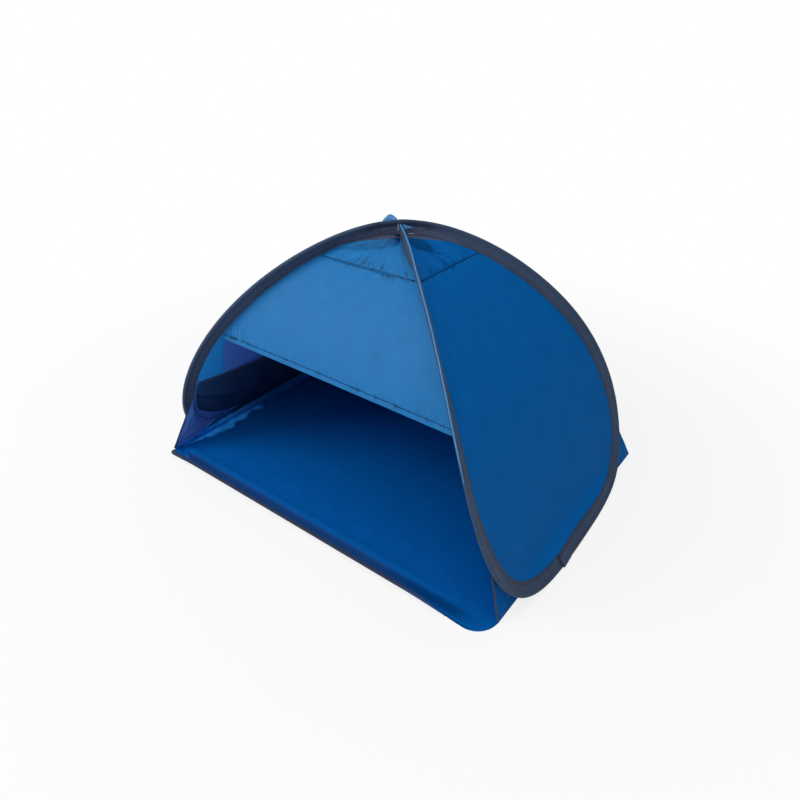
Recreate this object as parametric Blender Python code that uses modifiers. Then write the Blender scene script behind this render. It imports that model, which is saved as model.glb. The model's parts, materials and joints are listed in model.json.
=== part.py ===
import math

import bmesh
import bpy
from mathutils import Matrix, Vector
from mathutils.geometry import tessellate_polygon

# Driving dimensions in metres. X is the width, -Y is the doorway side, Z is up.
# How far the spring wire reaches from the middle: to each side, and to the doorway and the back.
WIRE_HALF_WIDTH = 0.3655
WIRE_HALF_DEPTH = 0.2300
# Height of the point where the two runs of the wire cross, and the turning line of the fold.
APEX_Z = 0.4395

# The floor's sides lie inside the wire, and its front and back edges lie outside it.
SIDE_TUCK = 0.0235
FRONT_REACH = 0.0295
BACK_REACH = 0.0300
# The floor stands a little askew: its doorway edge lies to the left and its back edge to the right.
FLOOR_SKEW = 0.0075
LEFT_CORNER_R = 0.0140
RIGHT_CORNER_R = 0.0360
LIP_DEPTH = 0.0235
LIP_RISE = 0.0085
# How far behind the doorway edge the gussets come down to the floor.
LEFT_GUSSET_SETBACK = 0.0100
RIGHT_GUSSET_SETBACK = 0.0340

# Cloth, its seam gap, and the tapes sewn over edges and seams.
CLOTH_T = 0.0006
SEAM_INSET = 0.0013
WEB_INSET = 0.0026
TAPE_T = 0.0006
TAPE_W = 0.0050
TOUCH_GAP = 0.0003
BINDING_W = 0.0060
BINDING_GAP = 0.0006
TAPE_GAP = 0.0013
# Where the tape over a side's seam lies: how far below the sleeve it stays, and at the first
# places along the doorway corner its shares of the way from the sleeve down to the floor.
SIDE_TAPE_DROP = 0.0024
SIDE_TAPE_SHARES = [0.90, 0.84, 0.76, 0.56, 0.32, 0.18]
EDGE_TAPE_W = 0.0034
EDGE_TAPE_T = 0.0014
PIPING_R = 0.0010
POCKET_TAPE_R = 0.0012

# The wire, the ferrule that joins its ends, and the sleeve that holds it.
WIRE_R = 0.0011
FERRULE_GAP = 0.0002
FERRULE_WALL = 0.0003
FERRULE_LENGTH = 0.0240
SLEEVE_PLAY = 0.0007
SLEEVE_WALL = 0.0007
SLEEVE_WIDTH = 0.0185
FLANGE_HALF_T = 0.00045
SLEEVE_LIFT = 0.0016
UNDER_RUN_DROP = 0.0048
# The lower run's sleeve leans along the upper run: how far, and the shares of a leg over which
# the lean grows and fades, close to the crossing and further down.
LEAN_NEAR = 0.0043
LEAN_NEAR_GROWS = 0.06
LEAN_NEAR_FADES = (0.08, 0.14)
LEAN_FAR = 0.0037
LEAN_FAR_GROWS = 0.10
LEAN_FAR_FADES = (0.19, 0.29)
LEAN_WAY = (-0.68, 0.73)
CUFF_Y = -0.0660
CUFF_LENGTH = 0.0240
CUFF_REACH = 0.0130
CUFF_T = 0.00055

# Where the seams lie, as shares of the way down a leg from the crossing.
WEB_TIP_T = 0.078
WEB_NEAR_T = 0.022
CROWN_TOP_T = 0.088
CROWN_TOP_UNDER_T = 0.008
CROWN_TOP_BEND = 2.5
CROWN_WEB_GAP_T = 0.0045
SEAM_T = 0.137
HEM_T = 0.372
POCKET_T = 0.515
GUSSET_T = 0.560
BOTTOM_T = 0.800

# The tie's upper and lower edge: along the upper run and down from it.
TIE_TOP = [(-0.0016, 0.0023), (0.0060, 0.0048), (0.0133, 0.0070)]
TIE_LOW = [(0.0012, 0.0110), (0.0065, 0.0100), (0.0133, 0.0082)]

# How far the cloth bellies in between its seams.
SIDE_SAG = 0.0070
BACK_SAG = 0.0060
VISOR_SAG = 0.0050
POCKET_BELLY = 0.0060
POCKET_CORNER_RISE = 0.130
PUCKER = 0.0012

FLOOR_HALF_WIDTH = WIRE_HALF_WIDTH - SIDE_TUCK
FLOOR_FRONT_Y = -(WIRE_HALF_DEPTH + FRONT_REACH)
FLOOR_BACK_Y = WIRE_HALF_DEPTH + BACK_REACH
FERRULE_BORE_R = WIRE_R + FERRULE_GAP
FERRULE_R = FERRULE_BORE_R + FERRULE_WALL
CHANNEL_R = FERRULE_R + SLEEVE_PLAY
POCKET_R = CHANNEL_R + SLEEVE_WALL
WIRE_LOW_Z = POCKET_R + SLEEVE_LIFT

# A quarter of the wire, from the crossing at the top to the middle of a side's bottom:
# shares of its reach to the side, its reach to the doorway and its height.
WIRE_ROUTE = [
    (0.000, 0.000, 1.000), (0.245, 0.361, 0.931), (0.470, 0.662, 0.778),
    (0.652, 0.886, 0.586), (0.790, 1.000, 0.374), (0.887, 0.970, 0.178),
    (0.958, 0.776, 0.041), (0.992, 0.430, 0.000), (1.000, 0.000, 0.003),
]
# Which way the sleeve lies from the wire at the same places, in sleeve widths.
SLEEVE_WAY = [
    (0.00, 0.00, -0.98), (0.04, -0.61, -0.81), (-0.19, -0.69, -0.74),
    (-0.20, -0.86, -0.51), (-0.23, -0.97, -0.22), (-0.23, -0.97, 0.22),
    (-0.56, -0.56, 0.65), (-0.45, -0.05, 0.89), (-0.61, 0.00, 0.83),
]
# Places along a leg, closer together where it bends; the sleeve and the wire share them.
STATIONS = ([0.012, 0.024, 0.036, 0.050, 0.075, 0.100, 0.125] + [0.15 + 0.05 * i for i in range(8)]
            + [0.535 + 0.028 * i for i in range(14)] + [0.93, 0.965])

COLLECTION = "pop_up_tent"

# The pieces that swing with the right side when the tent folds.
RIGHT_SIDE = ("wire_right_front", "wire_right_back", "wire_ferrule", "sleeve_right", "sleeve_cuff",
              "side_panel_right", "crown_right", "piping_right", "skirt_right",
              "side_tape_right", "corner_binding_right")

COLOURS = {
    "cloth": (0.020, 0.135, 0.430, 1.0, 0.62),
    "visor": (0.060, 0.235, 0.560, 1.0, 0.62),
    "floor": (0.005, 0.070, 0.260, 1.0, 0.55),
    "sleeve": (0.035, 0.045, 0.085, 1.0, 0.75),
    "binding": (0.028, 0.036, 0.060, 1.0, 0.75),
    "mesh": (0.010, 0.014, 0.035, 1.0, 0.85),
    "web": (0.060, 0.075, 0.130, 1.0, 0.75),
    "piping": (0.120, 0.330, 0.640, 1.0, 0.60),
    "steel": (0.450, 0.460, 0.480, 1.0, 0.30),
}


def clear_scene():
    for obj in list(bpy.data.objects):
        bpy.data.objects.remove(obj, do_unlink=True)


def through(values, flat_start, flat_end):
    # a cubic spline through evenly spaced values; an end is either flat or free
    n = len(values)
    h = 1.0 / (n - 1)
    below = [0.0] * n
    middle = [0.0] * n
    above = [0.0] * n
    right = [0.0] * n
    middle[0] = 1.0
    middle[-1] = 1.0
    if flat_start:
        middle[0], above[0], right[0] = 2.0, 1.0, 6.0 * (values[1] - values[0]) / h / h
    if flat_end:
        below[-1], middle[-1], right[-1] = 1.0, 2.0, -6.0 * (values[-1] - values[-2]) / h / h
    for i in range(1, n - 1):
        below[i], middle[i], above[i] = 1.0, 4.0, 1.0
        right[i] = 6.0 * (values[i + 1] - 2.0 * values[i] + values[i - 1]) / h / h
    for i in range(1, n):
        share = below[i] / middle[i - 1]
        middle[i] -= share * above[i - 1]
        right[i] -= share * right[i - 1]
    bend = [0.0] * n
    bend[-1] = right[-1] / middle[-1]
    for i in range(n - 2, -1, -1):
        bend[i] = (right[i] - above[i] * bend[i + 1]) / middle[i]

    def at(t):
        i = min(max(int(t / h), 0), n - 2)
        u = t - i * h
        v = h - u
        return ((bend[i] * v ** 3 + bend[i + 1] * u ** 3) / (6 * h)
                + (values[i] / h - bend[i] * h / 6) * v
                + (values[i + 1] / h - bend[i + 1] * h / 6) * u)

    return at


def route_points():
    wire = [(x * WIRE_HALF_WIDTH, -y * WIRE_HALF_DEPTH, WIRE_LOW_Z + z * (APEX_Z - WIRE_LOW_Z))
            for x, y, z in WIRE_ROUTE]
    seam = [(p[0] + SLEEVE_WIDTH * x, p[1] - SLEEVE_WIDTH * y, p[2] + SLEEVE_WIDTH * z)
            for p, (x, y, z) in zip(wire, SLEEVE_WAY)]
    return wire, seam


WIRE_POINTS, SEAM_POINTS = route_points()
WX = through([p[0] for p in WIRE_POINTS], False, True)
WY = through([p[1] for p in WIRE_POINTS], False, False)
WZ = through([p[2] for p in WIRE_POINTS], True, True)
QX = through([p[0] for p in SEAM_POINTS], False, True)
QY = through([p[1] for p in SEAM_POINTS], False, False)
QZ = through([p[2] for p in SEAM_POINTS], True, True)


def smooth(x):
    x = min(max(x, 0.0), 1.0)
    return x * x * (3.0 - 2.0 * x)


def drop(t, under):
    # the run that passes below dips under the other one at the crossing
    return UNDER_RUN_DROP * (1.0 - smooth(t / 0.14)) if under else 0.0


# In what follows sx is +1 on the right side; sy is -1 on the doorway side and +1 at the back.
# The run from the front left leg to the back right one lies on top.
def wire_at(t, sx, sy):
    under = sx * sy < 0
    return Vector((sx * WX(t), -sy * WY(t), WZ(t) - drop(t, under)))


def fades(t, places):
    return 1.0 - smooth((t - places[0]) / (places[1] - places[0]))


def lean_at(t):
    near = LEAN_NEAR * smooth(t / LEAN_NEAR_GROWS) * fades(t, LEAN_NEAR_FADES)
    return near + LEAN_FAR * smooth(t / LEAN_FAR_GROWS) * fades(t, LEAN_FAR_FADES)


def seam_at(t, sx, sy):
    under = sx * sy < 0
    seam = Vector((sx * QX(t), -sy * QY(t), QZ(t) - drop(t, under)))
    if not under or t <= 0.0:
        return seam
    wire = wire_at(t, sx, sy)
    reach = seam - wire
    leaned = reach + lean_at(t) * Vector((LEAN_WAY[0] * sx, LEAN_WAY[1] * sy, 0.0))
    return wire + leaned * (reach.length / leaned.length)


def t_at_length(length):
    # the share of a leg that lies at this length from the crossing
    total, last, k = 0.0, wire_at(0.0, 1, 1), 0
    while total < length:
        k += 1
        now = wire_at(k / 2000.0, 1, 1)
        total += (now - last).length
        last = now
    return k / 2000.0


def t_at_y(fn, y):
    # the lower run only, where |y| falls steadily towards the middle
    lo, hi = 0.70, 1.0
    for _ in range(40):
        mid = 0.5 * (lo + hi)
        if abs(fn(mid)) > abs(y):
            lo = mid
        else:
            hi = mid
    return 0.5 * (lo + hi)


def link(obj, kind):
    collection = bpy.data.collections.get(COLLECTION)
    if collection is None:
        collection = bpy.data.collections.new(COLLECTION)
        bpy.context.scene.collection.children.link(collection)
    collection.objects.link(obj)
    r, g, b, a, rough = COLOURS[kind]
    mat = bpy.data.materials.new(obj.name)
    mat.use_nodes = True
    shader = mat.node_tree.nodes["Principled BSDF"]
    shader.inputs["Base Color"].default_value = (r, g, b, a)
    shader.inputs["Roughness"].default_value = rough
    shader.inputs["Metallic"].default_value = 1.0 if kind == "steel" else 0.0
    mat.diffuse_color = (r, g, b, a)
    obj.data.materials.append(mat)
    return obj


def mesh_object(name, bm, kind):
    mesh = bpy.data.meshes.new(name)
    bmesh.ops.recalc_face_normals(bm, faces=bm.faces)
    bm.to_mesh(mesh)
    bm.free()
    return link(bpy.data.objects.new(name, mesh), kind)


def sheet(name, rows, kind):
    # cloth: rows of points, all the same length, given thickness by Solidify
    bm = bmesh.new()
    grid = [[bm.verts.new(p) for p in row] for row in rows]
    for j in range(len(grid) - 1):
        for i in range(len(grid[0]) - 1):
            bm.faces.new((grid[j][i], grid[j][i + 1], grid[j + 1][i + 1], grid[j + 1][i]))
    obj = mesh_object(name, bm, kind)
    mod = obj.modifiers.new("cloth thickness", "SOLIDIFY")
    mod.thickness = CLOTH_T
    mod.offset = 0.0
    mod.use_even_offset = False
    mod.use_rim = True


def rod(name, points, radius, kind):
    # a round wire or cord along a run of points
    curve = bpy.data.curves.new(name, "CURVE")
    curve.dimensions = "3D"
    curve.bevel_depth = radius
    curve.bevel_resolution = 2
    curve.use_fill_caps = True
    run = curve.splines.new("POLY")
    run.points.add(len(points) - 1)
    for point, p in zip(run.points, points):
        point.co = (p.x, p.y, p.z, 1.0)
    link(bpy.data.objects.new(name, curve), kind)


def floor_tape(name, low, high, kind):
    # a flat tape that follows the floor's skew
    bm = bmesh.new()
    bmesh.ops.create_cube(bm, size=1.0)
    size = Vector(high) - Vector(low)
    bmesh.ops.scale(bm, vec=size, verts=bm.verts)
    bmesh.ops.translate(bm, vec=(Vector(high) + Vector(low)) / 2, verts=bm.verts)
    for vert in bm.verts:
        vert.co.x += floor_shift(vert.co.y)
    mesh_object(name, bm, kind)


def ring_loft(name, outers, inners, kind):
    # a long body with an open channel right through it
    bm = bmesh.new()
    no, ni = len(outers[0]), len(inners[0])
    out = [[bm.verts.new(p) for p in s] for s in outers]
    inn = [[bm.verts.new(p) for p in s] for s in inners]
    for k in range(len(out) - 1):
        for i in range(no):
            j = (i + 1) % no
            bm.faces.new((out[k][i], out[k][j], out[k + 1][j], out[k + 1][i]))
        for i in range(ni):
            j = (i + 1) % ni
            bm.faces.new((inn[k][j], inn[k][i], inn[k + 1][i], inn[k + 1][j]))
    for k in (0, len(out) - 1):
        verts = out[k] + inn[k]
        tris = tessellate_polygon([[v.co for v in out[k]], [v.co for v in inn[k]]])
        for tri in tris:
            bm.faces.new([verts[i] for i in tri])
    mesh_object(name, bm, kind)


def solid_loft(name, sections, kind):
    bm = bmesh.new()
    n = len(sections[0])
    rings = [[bm.verts.new(p) for p in s] for s in sections]
    for k in range(len(rings) - 1):
        for i in range(n):
            j = (i + 1) % n
            bm.faces.new((rings[k][i], rings[k][j], rings[k + 1][j], rings[k + 1][i]))
    for ring in (rings[0], rings[-1]):
        for tri in tessellate_polygon([[v.co for v in ring]]):
            bm.faces.new([ring[i] for i in tri])
    mesh_object(name, bm, kind)


def frames(points, seams):
    # for each point of the wire: along it, towards the seam, and square to both
    out = []
    for k, p in enumerate(points):
        a = points[max(k - 1, 0)]
        b = points[min(k + 1, len(points) - 1)]
        along = (b - a).normalized()
        inward = seams[k] - p
        inward = (inward - along * inward.dot(along)).normalized()
        out.append((along, inward, along.cross(inward).normalized()))
    return out


def leg_stations(t_start):
    return [t_start] + [t for t in STATIONS if t > t_start + 0.003] + [1.0]


def lobe(t_first, t_second, sx, sy_first):
    # one side's loop: down one leg, along the ground and up the other
    down = [(t, sy_first) for t in leg_stations(t_first)]
    up = [(t, -sy_first) for t in leg_stations(t_second)]
    return down + list(reversed(up))[1:]


def half_sleeve():
    # half of the sleeve's section: x towards the seam, y sideways from the wire
    r = POCKET_R
    return [(-r, 0.0), (-0.7 * r, 0.7 * r), (0.0, r), (0.87 * r, 0.8 * r),
            (1.83 * r, FLANGE_HALF_T + 0.00055), (SLEEVE_WIDTH, FLANGE_HALF_T)]


def sleeve_outline():
    half = half_sleeve()
    return half + [(x, -y) for x, y in reversed(half[1:])]


def cuff_line():
    half = half_sleeve()
    (x0, y0), (x1, y1) = half[-2], half[-1]
    edge = y0 + (y1 - y0) * (CUFF_REACH - x0) / (x1 - x0)
    side = [(CUFF_REACH, edge)] + list(reversed(half[:-1]))
    return side + [(x, -y) for x, y in reversed(side[:-1])]


def grown(line, gap):
    # an open line moved sideways by the gap, with its corners kept sharp
    out = []
    for i, (x, y) in enumerate(line):
        sides = []
        for a, b in ((i - 1, i), (i, i + 1)):
            if a < 0 or b >= len(line):
                continue
            tx, ty = line[b][0] - line[a][0], line[b][1] - line[a][1]
            length = math.hypot(tx, ty)
            sides.append((-ty / length, tx / length))
        nx = sum(v[0] for v in sides)
        ny = sum(v[1] for v in sides)
        k = gap * len(sides) / (nx * nx + ny * ny)
        out.append((x - nx * k, y - ny * k))
    return out


def sleeve_sections(points, seams):
    outline = sleeve_outline()
    channel = [(CHANNEL_R * math.cos(math.pi / 3 * i), CHANNEL_R * math.sin(math.pi / 3 * i))
               for i in range(6)]
    outers, inners = [], []
    for p, q, (_, inward, side) in zip(points, seams, frames(points, seams)):
        reach = (q - p).length / SLEEVE_WIDTH
        outers.append([p + inward * x * (reach if x == SLEEVE_WIDTH else 1.0) + side * y
                       for x, y in outline])
        inners.append([p + inward * x + side * y for x, y in channel])
    return outers, inners


TOP_T = t_at_length(0.030)
UNDER_T = t_at_length(0.0085)
END_T = t_at_length(0.0050)


def build_sleeves():
    for sx, name in ((-1, "sleeve_left"), (1, "sleeve_right")):
        # the leg of the top run on this side: front on the left, back on the right
        run = lobe(TOP_T, UNDER_T, sx, sx)
        points = [wire_at(t, sx, sy) for t, sy in run]
        seams = [seam_at(t, sx, sy) for t, sy in run]
        ring_loft(name, *sleeve_sections(points, seams), "sleeve")
    # the short run over the crossing, from the front left leg to the back right one
    ts = [TOP_T - 0.0018, 0.024, 0.012, 0.0]
    run = [(t, -1) for t in ts] + [(t, 1) for t in reversed(ts[:-1])]
    points = [wire_at(t, s, s) for t, s in run]
    seams = [seam_at(t, s, s) for t, s in run]
    ring_loft("crossing_wrap", *sleeve_sections(points, seams), "sleeve")
    # the overlapping end of the sleeve, low on the right side near the doorway
    ts = [t_at_y(WY, CUFF_Y + CUFF_LENGTH * (i / 4 - 0.5)) for i in range(5)]
    points = [wire_at(t, 1, -1) for t in ts]
    seams = [seam_at(t, 1, -1) for t in ts]
    line = cuff_line()
    section = grown(line, TOUCH_GAP + CUFF_T) + list(reversed(grown(line, TOUCH_GAP)))
    sections = [[p + inward * x + side * y for x, y in section]
                for p, (_, inward, side) in zip(points, frames(points, seams))]
    solid_loft("sleeve_cuff", sections, "sleeve")


def build_wires():
    start = UNDER_T + 0.003
    run = lobe(END_T, start, -1, -1)
    rod("wire_left", [wire_at(t, -1, sy) for t, sy in run], WIRE_R, "steel")
    # on the right the wire's two ends meet inside the ferrule
    ferrule_y = CUFF_Y + 0.003
    t_front = t_at_y(WY, ferrule_y - 0.0002)
    t_back = t_at_y(WY, ferrule_y + 0.0002)
    front = [t for t in leg_stations(start) if t < t_front - 0.003] + [t_front]
    rod("wire_right_front", [wire_at(t, 1, -1) for t in front], WIRE_R, "steel")
    back = [(t_back, -1)] + [(t, -1) for t in leg_stations(END_T) if t > t_back + 0.003]
    back += [(t, 1) for t in reversed(leg_stations(END_T)[:-1])]
    rod("wire_right_back", [wire_at(t, 1, sy) for t, sy in back], WIRE_R, "steel")
    ts = [t_at_y(WY, ferrule_y + FERRULE_LENGTH * (i / 4 - 0.5)) for i in range(5)]
    points = [wire_at(t, 1, -1) for t in ts]
    seams = [seam_at(t, 1, -1) for t in ts]
    rings = []
    for radius in (FERRULE_R, FERRULE_BORE_R):
        rings.append([[p + inward * radius * math.cos(math.pi / 6 * i)
                       + side * radius * math.sin(math.pi / 6 * i) for i in range(12)]
                      for p, (_, inward, side) in zip(points, frames(points, seams))])
    ring_loft("wire_ferrule", rings[0], rings[1], "steel")


def inset_at(t):
    # the panels keep further from the sleeve near the crossing, where the legs run close
    near = 0.0012 * (1.0 - smooth((t - 0.10) / 0.20))
    low = 0.0016 * smooth((t - 0.66) / 0.10)
    return SEAM_INSET + near + low


def between(start, end, u, inset):
    # a point on the line from start to end, u from -1 to 1, kept clear of both of them
    share = inset / (end - start).length
    return start.lerp(end, share + (1.0 - 2.0 * share) * (0.5 + 0.5 * u))


def side_point(t, u, sx, inset=None, sag=0.0):
    # a line across one side, from its doorway leg to its back leg
    inset = inset_at(t) if inset is None else inset
    p = between(seam_at(t, sx, -1), seam_at(t, sx, 1), u, inset)
    dx = QX(t + 0.004) - QX(t - 0.004)
    dz = QZ(t + 0.004) - QZ(t - 0.004)
    return p + Vector((sx * dz, 0.0, -dx)) * (sag / math.hypot(dx, dz))


def across_point(t, u, sy, inset=None, sag=0.0):
    # a line across the doorway side or the back, from left leg to right leg
    inset = inset_at(t) if inset is None else inset
    p = between(seam_at(t, -1, sy), seam_at(t, 1, sy), u, inset)
    dy = QY(t - 0.004) - QY(t + 0.004)
    dz = QZ(t + 0.004) - QZ(t - 0.004)
    return p + Vector((0.0, sy * dz, -dy)) * (sag / math.hypot(dy, dz))


def spread(count):
    return [-1.0 + 2.0 * i / count for i in range(count + 1)]


def pucker(u, folds, phase):
    # small gathers along a seam, which die out at its two ends
    waves = 0.6 * math.sin(math.pi * folds * u + phase)
    waves += 0.4 * math.sin(math.pi * folds * 0.53 * u + 1.7 * phase)
    return PUCKER * waves * (1.0 - u ** 8)


def steps(start, end, count):
    return [start + (end - start) * i / count for i in range(count + 1)]


PANEL_TOP_T = SEAM_T + 0.0025
PANEL_END_T = BOTTOM_T - 0.035


def side_sag(t, u):
    share = min(max((t - PANEL_TOP_T) / (PANEL_END_T - PANEL_TOP_T), 0.0), 1.0)
    return SIDE_SAG * (1 - u * u) * math.sin(math.pi * share) ** 0.8


def build_side_panels():
    for sx, name in ((-1, "side_panel_left"), (1, "side_panel_right")):
        rows = []
        for t in steps(PANEL_TOP_T, PANEL_END_T, 14):
            fade = math.exp(-11.0 * (t - PANEL_TOP_T))
            rows.append([side_point(t, u, sx, sag=side_sag(t, u) + pucker(u, 7, 0.4 * sx) * fade)
                         for u in spread(18)])
        # the last row follows the seam along the bottom of the side
        half = abs(QY(BOTTOM_T)) - 0.0040
        last = []
        for u in spread(18):
            t = t_at_y(QY, abs(u) * half)
            last.append(Vector((sx * (QX(t) - 0.0006), u * half, QZ(t) + 0.0016)))
        rows.append(last)
        sheet(name, rows, "cloth")


def crown_top(u, sign):
    # the gores start lower on the run that passes over the crossing than on the other one
    over = 0.5 + 0.5 * u * sign
    return CROWN_TOP_UNDER_T + (CROWN_TOP_T - CROWN_TOP_UNDER_T) * over ** CROWN_TOP_BEND


def web_end(t, sign):
    # how far across a gore the webbing reaches at t, from its end on the upper run
    share = (t + CROWN_WEB_GAP_T - CROWN_TOP_UNDER_T) / (CROWN_TOP_T - CROWN_TOP_UNDER_T)
    return sign * (2.0 * share ** (1.0 / CROWN_TOP_BEND) - 1.0)


def build_crown():
    # the gores above the seams, and the grey webbing between them and the crossing
    for side, kind in (("left", "cloth"), ("right", "cloth"), ("front", "visor"), ("back", "cloth")):
        sign = -1 if side in ("left", "front") else 1
        place = side_point if side in ("left", "right") else across_point
        phase = 0.9 if side in ("left", "right") else 2.1
        rows = []
        for f in steps(0.0, 1.0, 6):
            row = []
            for u in spread(16):
                top = crown_top(u, sign)
                row.append(place(top + (SEAM_T - top) * f, u, sign, sag=pucker(u, 5, phase) * f ** 1.2))
            rows.append(row)
        sheet("crown_" + side, rows, kind)
        rows = []
        for t in steps(WEB_TIP_T, WEB_NEAR_T, 6):
            end = web_end(t, sign)
            rows.append([place(t, sign + (end - sign) * f, sign, inset=WEB_INSET)
                         for f in steps(0.0, 1.0, 4)])
        sheet("web_" + side, rows, "web")


def build_visor():
    rows = []
    for t in steps(PANEL_TOP_T, HEM_T, 10):
        f = (t - PANEL_TOP_T) / (HEM_T - PANEL_TOP_T)
        row = []
        for u in spread(22):
            sag = VISOR_SAG * (1 - u * u) * math.sin(math.pi * (0.15 + 0.7 * f))
            sag += pucker(u, 8, 1.3) * math.exp(-f * 6)
            sag += 0.6 * pucker(u, 11, 0.2) * f ** 6
            row.append(across_point(t, u, -1, sag=sag))
        rows.append(row)
    sheet("visor", rows, "visor")


def build_back_panel():
    rows = []
    for t in steps(PANEL_TOP_T, GUSSET_T, 10):
        f = (t - PANEL_TOP_T) / (GUSSET_T - PANEL_TOP_T)
        row = []
        for u in spread(20):
            sag = BACK_SAG * (1 - u * u) * math.sin(math.pi * f * 0.8)
            sag += 0.8 * pucker(u, 7, 0.3) * math.exp(-f * 7)
            row.append(across_point(t, u, 1, sag=sag))
        rows.append(row)
    # below the legs' bend the back runs down to the floor's back edge, with soft folds
    top = rows[-1]
    for f in steps(0.0, 1.0, 6)[1:]:
        row = []
        for i, u in enumerate(spread(20)):
            end = Vector((u * (FLOOR_HALF_WIDTH - 0.0030) + FLOOR_SKEW, FLOOR_BACK_Y + 0.0010, 2 * CLOTH_T))
            p = top[i].lerp(end, f)
            p.y += 0.004 * math.sin(math.pi * f) * math.cos(9.0 * u)
            row.append(p)
        rows.append(row)
    sheet("back_panel", rows, "cloth")


def floor_shift(y):
    return FLOOR_SKEW * (2.0 * (y - FLOOR_FRONT_Y) / (FLOOR_BACK_Y - FLOOR_FRONT_Y) - 1.0)


def floor_side(y, sx):
    # where the floor's side lies at a given depth: its doorway corners are rounded
    r = LEFT_CORNER_R if sx < 0 else RIGHT_CORNER_R
    d = y - FLOOR_FRONT_Y
    cut = r - math.sqrt(max(r * r - (r - d) ** 2, 0.0)) if d < r else 0.0
    return sx * (FLOOR_HALF_WIDTH - cut) + floor_shift(y)


def floor_x(u, y):
    left, right = floor_side(y, -1), floor_side(y, 1)
    return left + (right - left) * (0.5 + 0.5 * u)


def lip_height(x, y):
    # the doorway edge stands up a little, less towards the right corner
    d = min(max((y - FLOOR_FRONT_Y) / LIP_DEPTH, 0.0), 1.0)
    share = x / FLOOR_HALF_WIDTH
    fade = (1.0 - smooth((share - 0.64) / 0.29)) * (1.0 - 0.40 * smooth((-share - 0.76) / 0.23))
    return LIP_RISE * (1.0 - d) ** 1.35 * fade


def build_floor():
    lip = [0.0, 0.05, 0.15, 0.32, 0.53, 0.77, 1.02, 1.53, 2.40]
    ys = [FLOOR_FRONT_Y + LIP_DEPTH * share for share in lip]
    ys += steps(ys[-1], FLOOR_BACK_Y - 2 * CLOTH_T, 8)[1:]
    rows = []
    for y in ys:
        xs = [floor_x(u, y) for u in spread(24)]
        rows.append([Vector((x, y, CLOTH_T / 2 + lip_height(x - floor_shift(y), y))) for x in xs])
    sheet("floor", rows, "floor")
    # a flat tape over the seam along the back, inside on the floor
    low = CLOTH_T + TOUCH_GAP
    high = low + TAPE_T
    x = FLOOR_HALF_WIDTH - 0.014
    y = FLOOR_BACK_Y - 0.0037
    floor_tape("back_tape", (-x, y - TAPE_W, low), (x, y, high), "binding")


def build_front_binding():
    # a folded tape over the doorway edge, open towards the floor; it follows the floor's own points
    # from the left corner to where it turns under near the right one
    path = []
    for share in (0.32, 0.15, 0.05):
        y = FLOOR_FRONT_Y + LIP_DEPTH * share
        path.append((floor_side(y, -1), y))
    path += [(floor_x(u, FLOOR_FRONT_Y), FLOOR_FRONT_Y) for u in spread(24)[:24]]
    slot = CLOTH_T / 2 + BINDING_GAP
    outer = slot + TAPE_T
    section = [(BINDING_W, outer), (-outer, outer), (-outer - 0.0009, 0.0), (-outer, -outer),
               (BINDING_W, -outer), (BINDING_W, -slot), (-slot, -slot), (-slot, slot), (BINDING_W, slot)]
    sections = []
    for k, (x, y) in enumerate(path):
        a = path[max(k - 1, 0)]
        b = path[min(k + 1, len(path) - 1)]
        tx, ty = b[0] - a[0], b[1] - a[1]
        length = math.hypot(tx, ty)
        nx, ny = -ty / length, tx / length
        middle = x - floor_shift(y)
        edge = CLOTH_T / 2 + lip_height(middle, y)
        inner = CLOTH_T / 2 + lip_height(middle + nx * BINDING_W, y + ny * BINDING_W)
        slope = (inner - edge) / BINDING_W
        ring = [Vector((x + nx * d, y + ny * d, edge + slope * d + h)) for d, h in section]
        # the tape stays clear of the ground where the lip is low
        lift = max(0.0001 - min(p.z for p in ring), 0.0)
        sections.append([p + Vector((0.0, 0.0, lift)) for p in ring])
    solid_loft("front_binding", sections, "binding")


def skirt_columns(sx):
    # from the doorway leg along the bottom of the side to the back leg: for each place the
    # sleeve's seam, the point at the floor's edge, the way in, and how far it may belly
    ts = [GUSSET_T + (0.94 - GUSSET_T) * share
          for share in (0.0, 0.10, 0.21, 0.29, 0.38, 0.47, 0.56, 0.68, 0.82, 1.0)]
    places = [(t, -1) for t in ts] + [(1.0, 1)] + [(t, 1) for t in reversed(ts)]
    setback = LEFT_GUSSET_SETBACK if sx < 0 else RIGHT_GUSSET_SETBACK
    columns = []
    for t, sy in places:
        top = seam_at(t, sx, sy)
        corner = -FLOOR_FRONT_Y - setback if sy < 0 else FLOOR_BACK_Y - 0.0050
        level = (t - GUSSET_T) / (1.0 - GUSSET_T)
        share = abs(QY(t)) / abs(QY(GUSSET_T)) * (1.0 + 0.15 * (1.0 - level ** 2)) / 1.15
        y = sy * corner * share
        edge = floor_side(y, sx)
        rise = lip_height(edge - floor_shift(y), y)
        bottom = Vector((edge + sx * 2 * CLOTH_T, y, 0.0010 + rise))
        out = (top - wire_at(t, sx, sy)).normalized()
        run = seam_at(min(t + 0.01, 1.0), sx, sy) - seam_at(t - 0.01, sx, sy)
        inside = run.cross(out).normalized()
        if inside.x * sx > 0:
            inside = -inside
        start = top - out * 0.0009
        if sy > 0 and t < GUSSET_T + 0.05:
            start.y -= 0.0030
        columns.append((start, bottom, inside, smooth((t - GUSSET_T) / 0.05)))
    return columns


def skirt_point(column, f):
    top, bottom, inside, reach = column
    way = bottom - top
    p = top + way.normalized() * 0.0010 * (1.0 - f) + way * f
    push = 0.0016 + 0.0048 * smooth((p - top).length / 0.014) * reach
    return p + inside * push * (1.0 - smooth((f - 0.45) / 0.55))


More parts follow.
